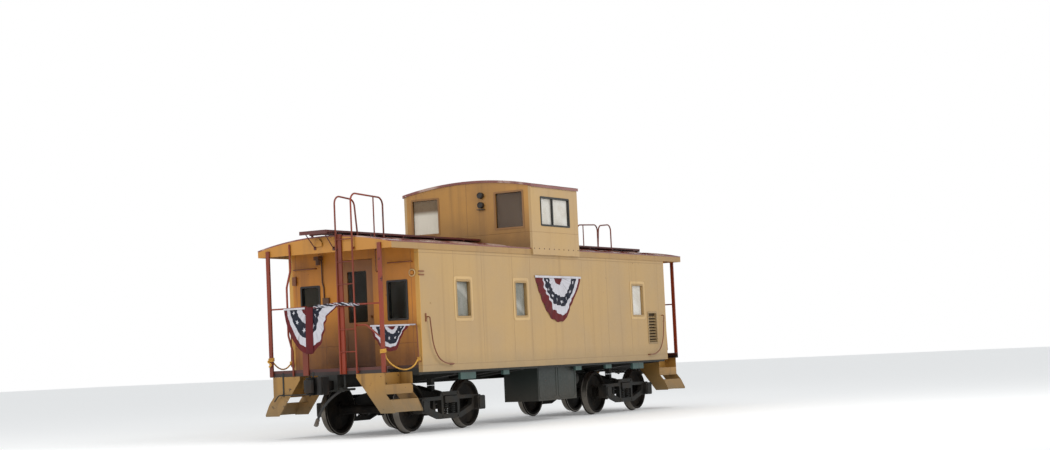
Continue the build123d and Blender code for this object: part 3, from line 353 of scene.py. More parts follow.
# The doors' darker foot is painted shade as well.
enamel("door_enamel", both_ends("door"), (148, 96, 40), (130, 80, 38), (88, 52, 28),
       rough=0.4, streaks=0.6, chips=0.3, dust=(1.15, 2.3, (74, 42, 26)))
fascia_coat = enamel(
    "fascia_enamel", ["fascias"], (168, 132, 80), (158, 127, 85), (130, 92, 50), chips=0.25,
    chip_colour=(96, 52, 34), zones=[(beyond(0, 5.58), (180, 122, 42))])
# The roof's pale zone on its slopes is painted reflection of the sky, and its pale chips are
# flaked paint that also serves as painted reflection.
enamel("roof_enamel", ["roofs", "cupola_roof"], (112, 42, 32), (130, 70, 58), (84, 34, 28),
       rough=0.2, streaks=0.2, chips=0.5, chip_colour=(190, 168, 152), dents=6.0,
       coat_weight=1.0, zones=[(painted_sky_glints, (202, 178, 160))])
enamel("board_enamel", ["running_boards"], (92, 34, 28), (78, 36, 30), (56, 28, 24),
       rough=0.5, streaks=0.3, chips=0.6, chip_colour=(120, 100, 88), grain=0.002)

# %% [markdown]
# ## Ironwork paint
# Posts, rails and ladders were painted red-brown, and hands and shoes have worn them down
# to something darker. Steps are ochre. What hangs below the floor is black with road
# dust, except the jack pads on the side sills, which are pale blue-grey.

# %% Ironwork paint
enamel("rail_enamel", both_ends("railing", "ladder"), (136, 48, 18), (110, 44, 22),
       (72, 32, 22), rough=0.42, streaks=0.7, chips=0.7, chip_colour=(60, 26, 20))
grab_coat = enamel(
    "grab_enamel", ["grab_irons"], (116, 62, 36), (134, 84, 46), (70, 38, 28), rough=0.4,
    streaks=0.4, chips=0.5, chip_colour=(62, 32, 24))
enamel("beam_enamel", ["end_beams"], (86, 40, 32), (72, 36, 30), (44, 28, 24), rough=0.5,
       chips=0.4, zones=[(below(1.13), (46, 33, 28))])
step_coat = enamel(
    "step_enamel", both_ends("stairs"), (166, 122, 56), (144, 108, 54), (92, 66, 36),
    rough=0.5, streaks=0.7, chips=0.7, chip_colour=(66, 48, 36),
    dust=(0.35, 0.9, (118, 100, 72)))
enamel("deck_enamel", ["floor"], (76, 48, 38), (64, 46, 38), (48, 36, 30), rough=0.65,
       streaks=0.0, chips=0.8, chip_colour=(52, 42, 36))
enamel("underframe_black",
       ["centre_sill", "strikers", "cross_bearers", "air_reservoir", "angle_cocks",
        "brake_housing", "brake_wheel", "uncoupling_levers"],
       (26, 28, 26), (34, 35, 31), (48, 42, 34), rough=0.62, chips=0.4,
       chip_colour=(58, 38, 28), dust=(0.2, 1.1, (52, 48, 40)))
enamel("side_sill_black", ["side_sills"], (26, 28, 26), (34, 35, 31), (44, 42, 36),
       rough=0.55, streaks=0.4, chips=0.3, chip_colour=(58, 38, 28),
       zones=[(below(1.0105), (60, 84, 80))])
box_coat = enamel(
    "box_green_black", ["equipment_box"], (28, 36, 32), (38, 45, 40), (54, 52, 44),
    rough=0.5, streaks=0.6, chips=0.3, dust=(0.38, 0.8, (60, 56, 48)))
lamp_coat = enamel(
    "lamp_black", ["lamps"], (24, 21, 19), (36, 30, 25), (50, 40, 30), streaks=0.3,
    chips=0.3, zones=[(beyond(0, 4.5), (86, 54, 32))])
enamel("window_frame_enamel", ["window_frames"], (30, 30, 27), (40, 38, 33), (54, 46, 36),
       rough=0.4, streaks=0.3, chips=0.2,
       zones=[(beyond(0, 0.88), (140, 96, 44)), (below(3.0), (166, 134, 86)),
              (beyond(0, 4.6), (34, 29, 23))])
enamel("louvre_enamel", ["louvres"], (160, 134, 94), (140, 116, 82), (92, 72, 50),
       rough=0.5, chips=0.3)

# %% [markdown]
# ## Cast steel, wheels and glass
# Cast steel has a pebbled skin that holds brown dust. A wheel is dark where the dust
# lies and bright where it rolls on the rail, which is found from the distance to its axle.


# %% Cast steel
def cast_steel(name, names, colour, rust, grain=0.0015):
    """Pebbled dark steel: fine noise for the skin, wide noise for rust and dust."""
    skin = Finish(name, metallic=0.35)
    patches = skin.noise(4.0, detail=8.0).ramp(0.4, 0.7)
    pits = skin.noise(70.0, detail=5.0)
    skin.set(base_color=skin.mix(patches, paint(*colour), paint(*rust)),
             roughness=patches * 0.2 + 0.6, normal=skin.bump(pits, grain))
    finish_nodes(skin, *names)
    return skin


truck_skin = cast_steel(
    "truck_steel", both_ends("side_frames", "bolster", "brake_beams", "springs"),
    (26, 26, 23), (50, 43, 35))
cast_steel("coupler_steel", both_ends("coupler", "knuckle"), (28, 27, 25), (52, 41, 32), 0.002)
cast_steel("hose_coupling_iron", ["hose_coupling"], (112, 108, 102), (88, 72, 58))

# %% Wheels, bright where they roll
tread_radius = 0.420
axle_height = 0.448


def wheel_steel(name, axle_x):
    """Dark steel that turns bright where the distance to the axle is near the tread's."""
    steel = Finish(name, metallic=0.8)
    across = steel.axis(0) - axle_x
    high = steel.axis(2) - axle_height
    reach = (across * across + high * high) ** 0.5 - tread_radius
    shine = reach.ramp(-0.012, -0.004) * (1.0 - reach.ramp(0.006, 0.014))
    dust = steel.noise(6.0, detail=7.0).ramp(0.35, 0.7)
    dull = steel.mix(dust, paint(28, 26, 24), paint(50, 43, 36))
    steel.set(base_color=steel.mix(shine, dull, paint(116, 110, 102)),
              roughness=0.72 - shine * 0.4,
              normal=steel.bump(steel.noise(50.0), 0.0006))
    return steel


for name in both_ends("wheelset"):
    for axle in "12":
        low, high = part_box(name + axle)
        finish_nodes(wheel_steel(f"{name}{axle}_steel", (low[0] + high[0]) / 2), name + axle)

# %% Glass, hose rubber
pane_glass = Finish("window_glass", alpha=0.16, specular_ior_level=0.7)
film = pane_glass.noise(2.5, detail=6.0).ramp(0.3, 0.75)
pane_glass.set(base_color=pane_glass.mix(film, paint(40, 44, 40), paint(84, 86, 78)),
               roughness=film * 0.12 + 0.06)
finish_nodes(pane_glass, "window_panes", *both_ends("door_glass"))
hose_rubber = two_tone(
    "hose_rubber", (26, 26, 26), (48, 44, 40),
    lambda coat: coat.noise(14.0, detail=6.0).ramp(0.4, 0.7), (300.0, 0.0004),
    roughness=0.62)

# %% [markdown]
# ## Surfaces from arrays
# Every new piece is a grid of points that numpy works out in one go. The grid becomes a
# mesh, its doubled points are merged, and its faces are turned outwards.


# %% A grid of points as a mesh
def mesh_of(name, points, faces, merge, uv):
    """A mesh of points (n, 3) and quads (m, 4), merged and with its faces outwards."""
    mesh = bpy.data.meshes.new(name)
    mesh.vertices.add(len(points))
    mesh.vertices.foreach_set("co", points.astype(np.float32).ravel())
    mesh.loops.add(faces.size)
    mesh.loops.foreach_set("vertex_index", faces.astype(np.int32).ravel())
    mesh.polygons.add(len(faces))
    mesh.polygons.foreach_set("loop_start", np.arange(0, faces.size, faces.shape[1],
                                                      dtype=np.int32))
    mesh.update(calc_edges=True)
    if uv is not None:
        layer = mesh.uv_layers.new(name="lay")
        layer.data.foreach_set("uv", uv[faces.ravel()].astype(np.float32).ravel())
    form = bmesh.new()
    form.from_mesh(mesh)
    bmesh.ops.remove_doubles(form, verts=form.verts, dist=merge)
    bmesh.ops.recalc_face_normals(form, faces=form.faces)
    form.to_mesh(mesh)
    form.free()
    mesh.validate()
    return mesh


def new_piece(name, points, faces, coat, smooth=True, body="carbody", slot=None,
              merge=1e-5, uv=None):
    """An object at the origin for a grid of points, with its finish and body; slot is not used.
    """
    mesh = mesh_of(name, points.reshape(-1, 3), faces, merge, uv)
    mesh.materials.append(coat.material)
    mesh.shade_smooth() if smooth else mesh.shade_flat()
    piece = bpy.data.objects.new(name, mesh)
    bpy.context.collection.objects.link(piece)
    if body:
        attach(piece, body)
    return piece


def grid_faces(rows, columns, wrap=False):
    """Quads of a grid: (i, j), (i, j + 1), (i + 1, j + 1), (i + 1, j)."""
    i = np.arange(rows - 1)[:, None]
    j = np.arange(columns if wrap else columns - 1)[None, :]
    after = (j + 1) % columns
    return np.stack([i * columns + j, i * columns + after, (i + 1) * columns + after,
                     (i + 1) * columns + j], axis=-1).reshape(-1, 4)


def repeated(faces, copies, count):
    """The faces of a shape's copies, when each copy has count points."""
    return (faces[None] + np.arange(copies)[:, None, None] * count).reshape(-1, 4)


# %% Places on the car
side_way, side_face = np.array([1.0, 0.0, 0.0]), np.array([0.0, -1.0, 0.0])
end_way, end_face = np.array([0.0, -1.0, 0.0]), np.array([-1.0, 0.0, 0.0])
trucks = (("a", -3.4), ("b", 3.4))


def pair(name, points, faces, coat, **more):
    """A piece where its points are, and the same piece half a turn about Z."""
    for half, turn in (("near", [1, 1, 1]), ("far", [-1, -1, 1])):
        new_piece(f"{name}_{half}", points * turn, faces, coat, **more)


# %% Tubes along a path
def unit(vectors):
    """Each vector divided by its own length."""
    return vectors / np.linalg.norm(vectors, axis=-1, keepdims=True)


def tube_points(path, radius, sides, level_way):
    """Rings round a path: point(s, a) = path(s) + r(s, a) (side cos a + up sin a).

    side is the path's direction crossed with level_way, and up is crossed with both.
    """
    along = unit(np.gradient(path, axis=0))
    side = unit(np.cross(along, level_way))
    up = np.cross(side, along)
    angle = np.linspace(0, 2 * np.pi, sides, endpoint=False)[None, :, None]
    ring = np.cos(angle) * side[:, None] + np.sin(angle) * up[:, None]
    return path[:, None] + np.broadcast_to(radius, (len(path), sides))[..., None] * ring


def closed(path, rings):
    """The rings with one more at each end, shrunk to the path's end point."""
    first, last = (np.repeat(end[None, None], rings.shape[1], 1) for end in path[[0, -1]])
    return np.concatenate([first, rings, last])


def tube(name, path, radius, sides, coat, slot, level_way=(0.0, 1.0, 0.0)):
    """A closed tube round a path."""
    rings = closed(path, tube_points(path, radius, sides, np.array(level_way)))
    return new_piece(name, rings, grid_faces(len(rings), sides, wrap=True), coat, slot=slot)


def even_path(points, count):
    """Points at even steps along a line of points, and how far along each of them is."""
    gone = np.concatenate([[0], np.cumsum(np.linalg.norm(np.diff(points, axis=0), axis=1))])
    fine = np.linspace(0, gone[-1], count)
    return np.stack([np.interp(fine, gone, points[:, k]) for k in range(3)], axis=1), fine


# %% [markdown]
# ## Air hose and ropes
# A hose or rope is a fixed length of something that bends. A smooth NURBS line follows
# the route that the CAD model gives. The hose is a round bevel on that line. A rope has
# three strands, so its outline is three bulges that turn as they go along it.


# %% A NURBS line through a route
def nurbs_line(name, route):
    """An open NURBS curve of order 3 that starts and ends on the route's end points."""
    curve = bpy.data.curves.new(name, "CURVE")
    curve.dimensions = "3D"
    curve.resolution_u = 16
    spline = curve.splines.new("NURBS")
    spline.points.add(len(route) - 1)
    weights = np.ones((len(route), 1))
    spline.points.foreach_set("co", np.hstack([route, weights]).ravel())
    spline.order_u = 3
    spline.use_endpoint_u = True
    line = bpy.data.objects.new(name, curve)
    bpy.context.collection.objects.link(line)
    return line


def read_line(route):
    """Points along the NURBS line of a route, read from Blender."""
    line = nurbs_line("route", route)
    bpy.context.view_layer.update()
    mesh = bpy.data.meshes.new_from_object(line)
    points = np.empty(len(mesh.vertices) * 3, dtype=np.float32)
    mesh.vertices.foreach_get("co", points)
    bpy.data.objects.remove(line)
    bpy.data.meshes.remove(mesh)
    return points.reshape(-1, 3).astype(float)


# %% Air hose
hose_radius = 0.022
hose_route = np.array([
    (-5.745, -0.330, 0.785), (-5.845, -0.322, 0.745), (-5.934, -0.298, 0.688),
    (-6.006, -0.259, 0.616), (-6.052, -0.211, 0.532), (-6.070, -0.160, 0.441),
    (-6.066, -0.113, 0.352),
])
hose = nurbs_line("air_hose_rubber", hose_route)
hose.data.bevel_depth = hose_radius
hose.data.bevel_resolution = 6
hose.data.use_fill_caps = True
hose.data.materials.append(hose_rubber.material)
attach(hose, "carbody")
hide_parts("air_hose")

# %% Rope finish
rope_fibre = two_tone(
    "rope_fibre", (204, 152, 62), (158, 112, 50),
    lambda coat: coat.noise(7.0, detail=5.0).ramp(0.4, 0.75), (140.0, 0.0012),
    roughness=0.85)
rope_radius = 0.013
strand_step = 0.085


# %% Ropes and their knots
def laid_rope(name, route, length, node):
    """Three strands: r(s, a) = R (0.84 + 0.16 |cos(1.5 a - pi s / step)|).

    A strand takes the next one's place after each step, and is round after three.
    """
    points = read_line(route)
    path, fine = even_path(points, 260)
    sides = 30
    angle = np.linspace(0, 2 * np.pi, sides, endpoint=False)
    bulge = np.abs(np.cos(1.5 * angle[None] - np.pi * fine[:, None] / strand_step))
    piece = tube(name, path, rope_radius * (0.84 + 0.16 * bulge), sides, rope_fibre,
                 "rope_yellow")
    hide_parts(node)
    print(name, "line", round(fine[-1], 3), "m, rope", length, "m")


def lashing(name, centre, reach, pitch):
    """Three turns of rope round an upright bar: a helix with two half-widths, reach."""
    turns = 3
    angle = np.linspace(0, 2 * np.pi * turns, 40 * turns)
    path = np.stack([reach[0] * np.cos(angle), reach[1] * np.sin(angle),
                     pitch * (angle / (2 * np.pi) - turns / 2)], axis=1) + centre
    return tube(name, path, rope_radius * 0.8, 12, rope_fibre, "rope_yellow",
                (0.0, 0.0, 1.0))


# %% Near and far stair rope
near_route = np.array([
    (-5.583, -1.174, 1.416), (-5.568, -1.178, 1.345), (-5.525, -1.187, 1.282),
    (-5.463, -1.201, 1.226), (-5.388, -1.218, 1.178), (-5.302, -1.237, 1.141),
    (-5.210, -1.258, 1.115), (-5.118, -1.279, 1.109), (-5.030, -1.299, 1.125),
    (-4.950, -1.317, 1.160), (-4.888, -1.331, 1.211), (-4.850, -1.339, 1.268),
])
far_route = np.array([
    (-5.583, 1.174, 1.352), (-5.512, 1.190, 1.303), (-5.430, 1.209, 1.262),
    (-5.338, 1.229, 1.228), (-5.240, 1.251, 1.209), (-5.140, 1.273, 1.206),
    (-5.042, 1.295, 1.220), (-4.948, 1.316, 1.251), (-4.850, 1.337, 1.301),
])
round_handle, round_post = (0.022, 0.022), (0.034, 0.051)
near_knots = [
    lashing("near_handle_lashing", (-4.822, -1.3493, 1.28), round_handle, 0.021),
    lashing("near_post_lashing", (-5.6173, -1.170, 1.435), round_post, 0.022)]
far_knots = [
    lashing("far_handle_lashing", (-4.822, 1.3490, 1.31), round_handle, 0.021),
    lashing("far_post_lashing", (-5.6173, 1.170, 1.375), round_post, 0.022)]
tail_share = np.linspace(0, 1, 90)
tail_path = np.stack([-5.662 - 0.012 * np.sin(np.pi * tail_share),
                      1.172 + 0.034 * np.sin(2.2 * np.pi * tail_share) - 0.004 * tail_share,
                      1.375 - 0.118 * tail_share], axis=1)
tail_radius = rope_radius * (0.9 + 0.7 * np.clip(tail_share * 4 - 3, 0, 1)
                             * np.sqrt(1.02 - tail_share) * 2.4)[:, None]
far_knots.append(tube("far_rope_tail", tail_path, tail_radius, 14, rope_fibre,
                      "rope_yellow", (1.0, 0.0, 0.0)))
laid_rope("near_stair_rope", near_route, 0.940, "rope_near")
laid_rope("far_stair_rope", far_route, 0.800, "rope_far")

# %% [markdown]
# ## Bunting
# A bunting fan is a strip of cloth in bands of red, white and blue that is gathered to
# one point at the top, so its bands become rings round that point and its pleats spread
# like rays. Wind has blown these three about: each has its own outline, and each red
# hem is wider on the side where the cloth has folded over.


# %% Bunting cloth
def star_mark(across, along, size):
    """1 inside a five-pointed star: its edge is a straight line in each tenth of a turn."""
    angle = across.math("ARCTAN2", across, along)
    tenth = np.pi / 5
    off_point = tenth - abs(angle % (2 * tenth) - tenth)
    inner = 0.42
    slope = (1 - inner * np.cos(tenth)) / (inner * np.sin(tenth))
    cosine = off_point.math("COSINE", off_point)
    sine = off_point.math("SINE", off_point)
    reach = (across * across + along * along) ** 0.5
    edge = reach * (cosine + sine * slope)
    return 1.0 - edge.over(size)


red_cloth, white_cloth, navy_cloth = (92, 10, 16), (196, 194, 200), (12, 20, 38)


def bunting_cloth(name, stars, left_hem, right_hem, blue, lift=0.0):
    """Rings of colour by the second UV coordinate, stars in the blue ring, and creases, which
    are bumped and darkened with painted shade.

    The hem's red starts at left_hem on the left and at right_hem on the right. The blue
    ring lies between its two limits on the left, and lift nearer to the gather on the right.
    """
    cloth = Finish(name)
    red, white, navy = (paint(*tone) for tone in (red_cloth, white_cloth, navy_cloth))
    lay = cloth.add("ShaderNodeUVMap", {"uv_map": "lay"}, {})
    ray = cloth.add("ShaderNodeSeparateXYZ", {}, {0: lay}, 0)
    ring = cloth.add("ShaderNodeSeparateXYZ", {}, {0: lay}, 1)
    band = ring + (cloth.noise(5.0, detail=3.0) - 0.5) * 0.16
    raised = band + ray.ramp(0.45, 0.8) * lift
    first, last = blue
    tone = cloth.mix(band.over(0.19), red, white)
    tone = cloth.mix(raised.over(first), tone, navy)
    across = (ray * stars) % 1.0 - 0.5
    middle = (first + last) / 2
    along = (raised - middle) * (stars / (np.pi * middle))
    tone = cloth.mix(star_mark(across, along, 0.23), tone, white)
    tone = cloth.mix(raised.over(last), tone, white)
    hem = ray.ramp(0.25, 0.7) * (right_hem - left_hem) + left_hem
    tone = cloth.mix((band - hem).over(0.0), tone, red)
    soil = cloth.noise(6.0, detail=5.0).ramp(0.3, 0.9)
    tone = cloth.mix(soil * 0.1, tone, paint(110, 92, 80))
    stretched = cloth.add("ShaderNodeCombineXYZ", {}, {0: ray * 34.0, 1: ring * 1.6})
    creases = cloth.add("ShaderNodeTexNoise", {}, {"Vector": stretched, "Scale": 1.0,
                                                   "Detail": 4.0})
    # Painted shade: the cloth is darkened in its creases.
    tone = cloth.mix(creases.ramp(0.5, 0.75) * 0.35, tone, paint(34, 28, 30))
    cloth.set(base_color=tone, roughness=0.88,
              normal=cloth.bump(creases * 14.0 + cloth.noise(420.0, detail=2.0), 0.001))
    return cloth


def plain_cloth(name, colour, worn, share):
    """Cloth of one colour that wears towards another in clouds."""
    return two_tone(name, colour, worn, lambda coat: coat.noise(9.0).ramp(0.3, 0.8) * share,
                    (380.0, 0.0006), roughness=0.88)


plain_white = plain_cloth("bunting_white", white_cloth, (150, 144, 140), 0.4)
plain_red = plain_cloth("bunting_red", red_cloth, (66, 12, 18), 0.6)


# %% A fan, its heading tape and a folded length
def fan(name, node, gather, across_way, out_way, outline, pleats, depth, coat):
    """A gathered sheet: P(a, r) = gather + r R(a) (1 - 0.025 w r) (-cos a across - sin a up).

    R(a) is the distance from the gather to the outline, whose points are given across and
    down from the gather. The cloth stands out by depth w min(2.2 r, 1), where the wave is
    w = 0.5 + 0.5 cos(2 pleats a + 0.9 sin(9 a / pi)). The bands lie at
    v = r (R(a) / R(down))^(1 - r), so they are round near the gather and follow the
    outline at the hem.
    """
    across, down = np.array(outline).T
    bearing, reach = np.arctan2(down, -across), np.hypot(across, down)
    share = np.linspace(0, 1, 16 * pleats + 1)
    angle = np.pi * share
    distance = np.interp(angle, bearing, reach)
    window = np.hanning(13)[1:-1]
    padded = np.pad(distance, 5, mode="reflect", reflect_type="odd")
    distance = np.convolve(padded, window / window.sum(), mode="valid")
    ring = (np.linspace(0.0, 1.0, 33) ** 0.9)[:, None, None]
    wave = 0.5 + 0.5 * np.cos(2 * np.pi * pleats * share + 0.9 * np.sin(9 * share))
    wave = wave[None, :, None]
    ray = (-np.cos(angle)[:, None] * across_way
           + np.sin(angle)[:, None] * np.array([0.0, 0.0, -1.0]))[None]
    hem = 1 - 0.025 * wave * ring
    points = (np.array(gather) + ring * hem * distance[None, :, None] * ray
              + depth * np.minimum(ring * 2.2, 1.0) * wave * out_way)
    rows, columns = points.shape[:2]
    drop = np.interp(np.pi / 2, angle, distance)
    band = ring[..., 0] * (distance[None] / drop) ** (1 - ring[..., 0])
    uv = np.stack([np.broadcast_to(share, (rows, columns)), band], axis=-1).reshape(-1, 2)
    piece = new_piece(name, points, grid_faces(rows, columns), coat, slot="bunting_cloth",
                      merge=1e-6, uv=uv)
    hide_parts(node)
    area = sum(face.area for face in piece.data.polygons)
    print(name, "cloth", round(area, 3), "square metres")
    return piece, area


def strip(name, start, end, width, out_way, bulge, coat, waves=5.0):
    """A band of cloth from start to end: P(s, t) = line(s) + t W side + bulge out.

    The bulge is cos(pi t / 2) with a small wave along s, and W is the band's half width.
    """
    start, end = np.array(start), np.array(end)
    along = np.linspace(0, 1, 60)[:, None, None]
    over = np.linspace(-1, 1, 9)[None, :, None]
    side = unit(np.cross(end - start, out_way))
    lift = bulge * np.cos(np.pi * over / 2) * (1 + 0.3 * np.sin(waves * 2 * np.pi * along))
    points = start + along * (end - start) + over * width * side + lift * out_way
    return new_piece(name, points, grid_faces(60, 9), coat, slot="bunting_cloth")

# %% Bunting on the side, between the windows
side_shape = [(-0.90, 0.0), (-0.86, 0.12), (-0.72, 0.37), (-0.53, 0.64), (-0.36, 0.80),
              (-0.12, 0.880), (0.10, 0.885), (0.29, 0.80), (0.43, 0.60), (0.62, 0.41),
              (0.80, 0.22), (0.89, 0.10), (0.905, 0.0)]
side_cloth = bunting_cloth("side_cloth", 8.0, 0.70, 0.91, (0.41, 0.64), -0.16)
side_fan, side_area = fan("side_bunting", "bunting_side", (0.084, -1.3805, 2.755),
                          side_way, side_face, side_shape, 12, 0.019, side_cloth)
side_tape = strip("side_bunting_tape", (-0.825, -1.3985, 2.738), (0.985, -1.3985, 2.738),
                  0.021, side_face, 0.003, plain_white)

# %% Bunting on the end rail, with a fold of red and a twist of cloth along the rail
rail_shape = [(-0.52, 0.0), (-0.50, 0.16), (-0.43, 0.38), (-0.30, 0.62), (-0.12, 0.79),
              (0.05, 0.80), (0.19, 0.70), (0.30, 0.52), (0.335, 0.34), (0.38, 0.20),
              (0.47, 0.10), (0.62, 0.03), (0.66, 0.0)]
rail_cloth = bunting_cloth("rail_cloth", 6.0, 0.83, 0.89, (0.36, 0.66), 0.20)
rail_fan, rail_area = fan("rail_bunting", "bunting_rail", (-5.668, 0.300, 2.240),
                          end_way, end_face, rail_shape, 9, 0.019, rail_cloth)
rail_tape = strip("rail_bunting_tape", (-5.690, 0.815, 2.226), (-5.690, 0.36, 2.226),
                  0.016, end_face, 0.003, plain_white)
rail_fold = strip("rail_bunting_fold", (-5.689, 0.272, 2.240), (-5.689, 0.292, 1.450),
                  0.078, end_face, 0.014, plain_red, waves=1.5)


def twist_of_cloth(name, route, radius, lay, coat):
    """Rolled cloth: r(s, a) = R (1 + 0.22 cos(3 a - lay s)), coloured round the roll."""
    path, fine = even_path(np.array(route), 160)
    sides = 36
    angle = np.linspace(0, 2 * np.pi, sides, endpoint=False)[None, :]
    taper = np.sqrt(np.clip(np.minimum(fine, fine[-1] - fine) / 0.06, 0.05, 1.0))[:, None]
    thick = radius * taper * (1 + 0.22 * np.cos(3 * angle - lay * fine[:, None]))
    rings = closed(path, tube_points(path, thick, sides, np.array([0.0, 0.0, 1.0])))
    rolled = np.abs(((angle / np.pi + fine[:, None] * lay / (3 * np.pi)) % 2.0) - 1.0)
    uv = np.stack([np.broadcast_to(fine[:, None] / fine[-1], rolled.shape),
                   0.22 + 0.6 * rolled], axis=-1)
    uv = np.concatenate([uv[:1], uv, uv[-1:]]).reshape(-1, 2)
    return new_piece(name, rings, grid_faces(len(rings), sides, wrap=True), coat,
                     slot="bunting_cloth", uv=uv)


twist_route = [(-5.684, 0.20, 2.238), (-5.686, -0.05, 2.246), (-5.688, -0.30, 2.262),
               (-5.688, -0.45, 2.256), (-5.686, -0.62, 2.238), (-5.684, -0.778, 2.226)]
twist_cloth = bunting_cloth("twist_cloth", 3.0, 0.72, 0.72, (0.32, 0.62))
rail_twist = twist_of_cloth("rail_bunting_twist", twist_route, 0.024, 38.0, twist_cloth)

# %% Bunting across the near stairs, tied to the corner handle
stair_start = np.array([-5.588, -0.880, 1.878])
stair_run = np.array([-4.835, -1.2038, 1.878]) - stair_start
stair_way = stair_run / np.linalg.norm(stair_run)
stair_out = np.array([stair_way[1], -stair_way[0], 0.0])
stair_gather = stair_start + 0.55 * stair_run
stair_shape = [(-0.44, 0.0), (-0.40, 0.13), (-0.31, 0.28), (-0.20, 0.40), (-0.05, 0.455),
               (0.08, 0.44), (0.12, 0.36), (0.16, 0.25), (0.24, 0.12), (0.345, 0.03),
               (0.36, 0.0)]
stair_cloth = bunting_cloth("stair_cloth", 6.0, 0.88, 0.80, (0.34, 0.72))
stair_fan, stair_area = fan("stair_bunting", "bunting_stairs", stair_gather, stair_way,
                            stair_out, stair_shape, 8, 0.010, stair_cloth)
stair_tie = strip("stair_bunting_tie", (-4.8365, -1.200, 1.868), (-4.8365, -1.318, 1.866),
                  0.011, end_face, 0.002, plain_white)
tape_start = stair_start + 0.0105 * stair_out - [0.0, 0.0, 0.014]
stair_tape = strip("stair_bunting_tape", tape_start + 0.02 * stair_run,
                   tape_start + 0.98 * stair_run, 0.013, stair_out, 0.001, plain_white)
for piece, area, length, held_by, more in (
        (side_fan, side_area, 0.90, "side_wall_near", [side_tape]),
        (rail_fan, rail_area, 0.80, "railing_a", [rail_tape, rail_fold, rail_twist]),
        (stair_fan, stair_area, 0.46, "grab_irons", [stair_tape, stair_tie])):
    1.25 * area / length

# %% [markdown]
# ## Windows
# Each side window has a flat casing round it. Most have something behind the glass: a white
# blind, a grey sheet, or a brown board. A casing is a ring between two rounded rectangles, and
# a blind is a sheet with shallow upright folds. The blinds glow faintly as painted light, the
# grey sheets carry slanting bands of painted reflection and a faint glow, and a dark sheet
# behind the louvre is painted shade.


# %% Casings and blinds
casing_sides = 120
window_middle = 2.3065
wall_face = -1.379


def rounded(half_width, half_height, power=14.0):
    """Points round |x / w|^n + |z / h|^n = 1, a rectangle with rounded corners."""
    angle = np.linspace(0, 2 * np.pi, casing_sides, endpoint=False) + np.pi / casing_sides
    reach = (np.abs(np.cos(angle) / half_width) ** power
             + np.abs(np.sin(angle) / half_height) ** power) ** (-1 / power)
    return np.stack([reach * np.cos(angle), reach * np.sin(angle)], axis=1)


def on_wall(flat, centre, way, face):
    """Points given across, up and out from a place on a wall."""
    return centre + flat[:, :1] * way + flat[:, 1:2] * [0, 0, 1] + flat[:, 2:] * face


def casing(half_width, half_height, rim, centre, proud=0.006):
    """A flat ring on the near side, rim wide, that stands proud with a small round edge."""
    steps = [(rim, 0.0), (rim, 0.6), (rim - 0.002, 1.0), (0.002, 1.0), (0.0, 0.6),
             (0.0, 0.0), (rim, 0.0)]
    flat = [np.column_stack([rounded(half_width + out, half_height + out),
                             np.full(casing_sides, rise * proud)]) for out, rise in steps]
    return on_wall(np.concatenate(flat), centre, side_way, side_face)


def blind(half_width, half_height, folds, depth, centre, way, face):
    """A sheet with upright folds: out = depth (0.5 + 0.5 cos(folds pi u)), u from -1 to 1."""
    u, v = np.meshgrid(np.linspace(-1, 1, 81), np.linspace(-1, 1, 9))
    out = depth * (0.5 + 0.5 * np.cos(folds * np.pi * u))
    flat = np.stack([u * half_width, v * half_height, out], axis=-1).reshape(-1, 3)
    return on_wall(flat, centre, way, face)


casing_faces, blind_faces = grid_faces(7, casing_sides, wrap=True), grid_faces(9, 81)
casing_coat = enamel("casing_enamel", [], (200, 166, 112), (190, 158, 110), (140, 104, 64),
                     streaks=0.4, chips=0.2)
window_rows = [(-3.3625, 0.2500), (-1.345, 0.2345), (3.4635, 0.2740)]
for number, (along, half) in enumerate(window_rows, start=1):
    centre = (along, wall_face, window_middle)
    pair(f"window_{number}_casing", casing(half, 0.339, 0.058, centre), casing_faces,
         casing_coat, slot="side_paint")


# %% What hangs behind the panes
def painted_reflection_bands(coat):
    """Share of the pale tone, a painted reflection: a slanting band every 0.9 m, and clouds."""
    slant = (coat.axis(2) - abs(coat.axis(0)) * 0.6) % 0.9
    band = slant.ramp(0.38, 0.45) * (1.0 - slant.ramp(0.47, 0.62))
    cloudy = coat.noise(6.0, (1.0, 1.0, 0.35), detail=6.0).ramp(0.3, 0.7)
    return (band * 0.6 + cloudy * 0.4).clamp()


# The white and half-drawn blinds glow faintly in their own tone: painted light from behind
# them.
white_blind_painted_glow = two_tone("blind_white_painted_glow", (240, 236, 228), (222, 214, 200),
                       lambda coat: coat.noise(4.0, detail=5.0).ramp(0.3, 0.8),
                       roughness=0.8, emission_strength=0.28)
pale_blind_painted_glow = two_tone("blind_half_drawn_painted_glow", (240, 230, 212), (128, 104, 76),
                      lambda coat: coat.axis(2).ramp(4.05, 4.17),
                      roughness=0.8, emission_strength=0.28)
brown_board = two_tone("window_board_brown", (126, 98, 74), (104, 82, 62),
                       lambda coat: coat.noise(5.0, (1.0, 1.0, 0.2)), roughness=0.6)
# The grey sheet's pale slanting bands and clouds are painted reflection, and its faint glow is
# painted light.
grey_sheet_painted_reflection = two_tone("window_sheet_painted_reflection", (140, 140, 128), (206, 202, 192),
                      painted_reflection_bands, roughness=0.3, emission_strength=0.12)
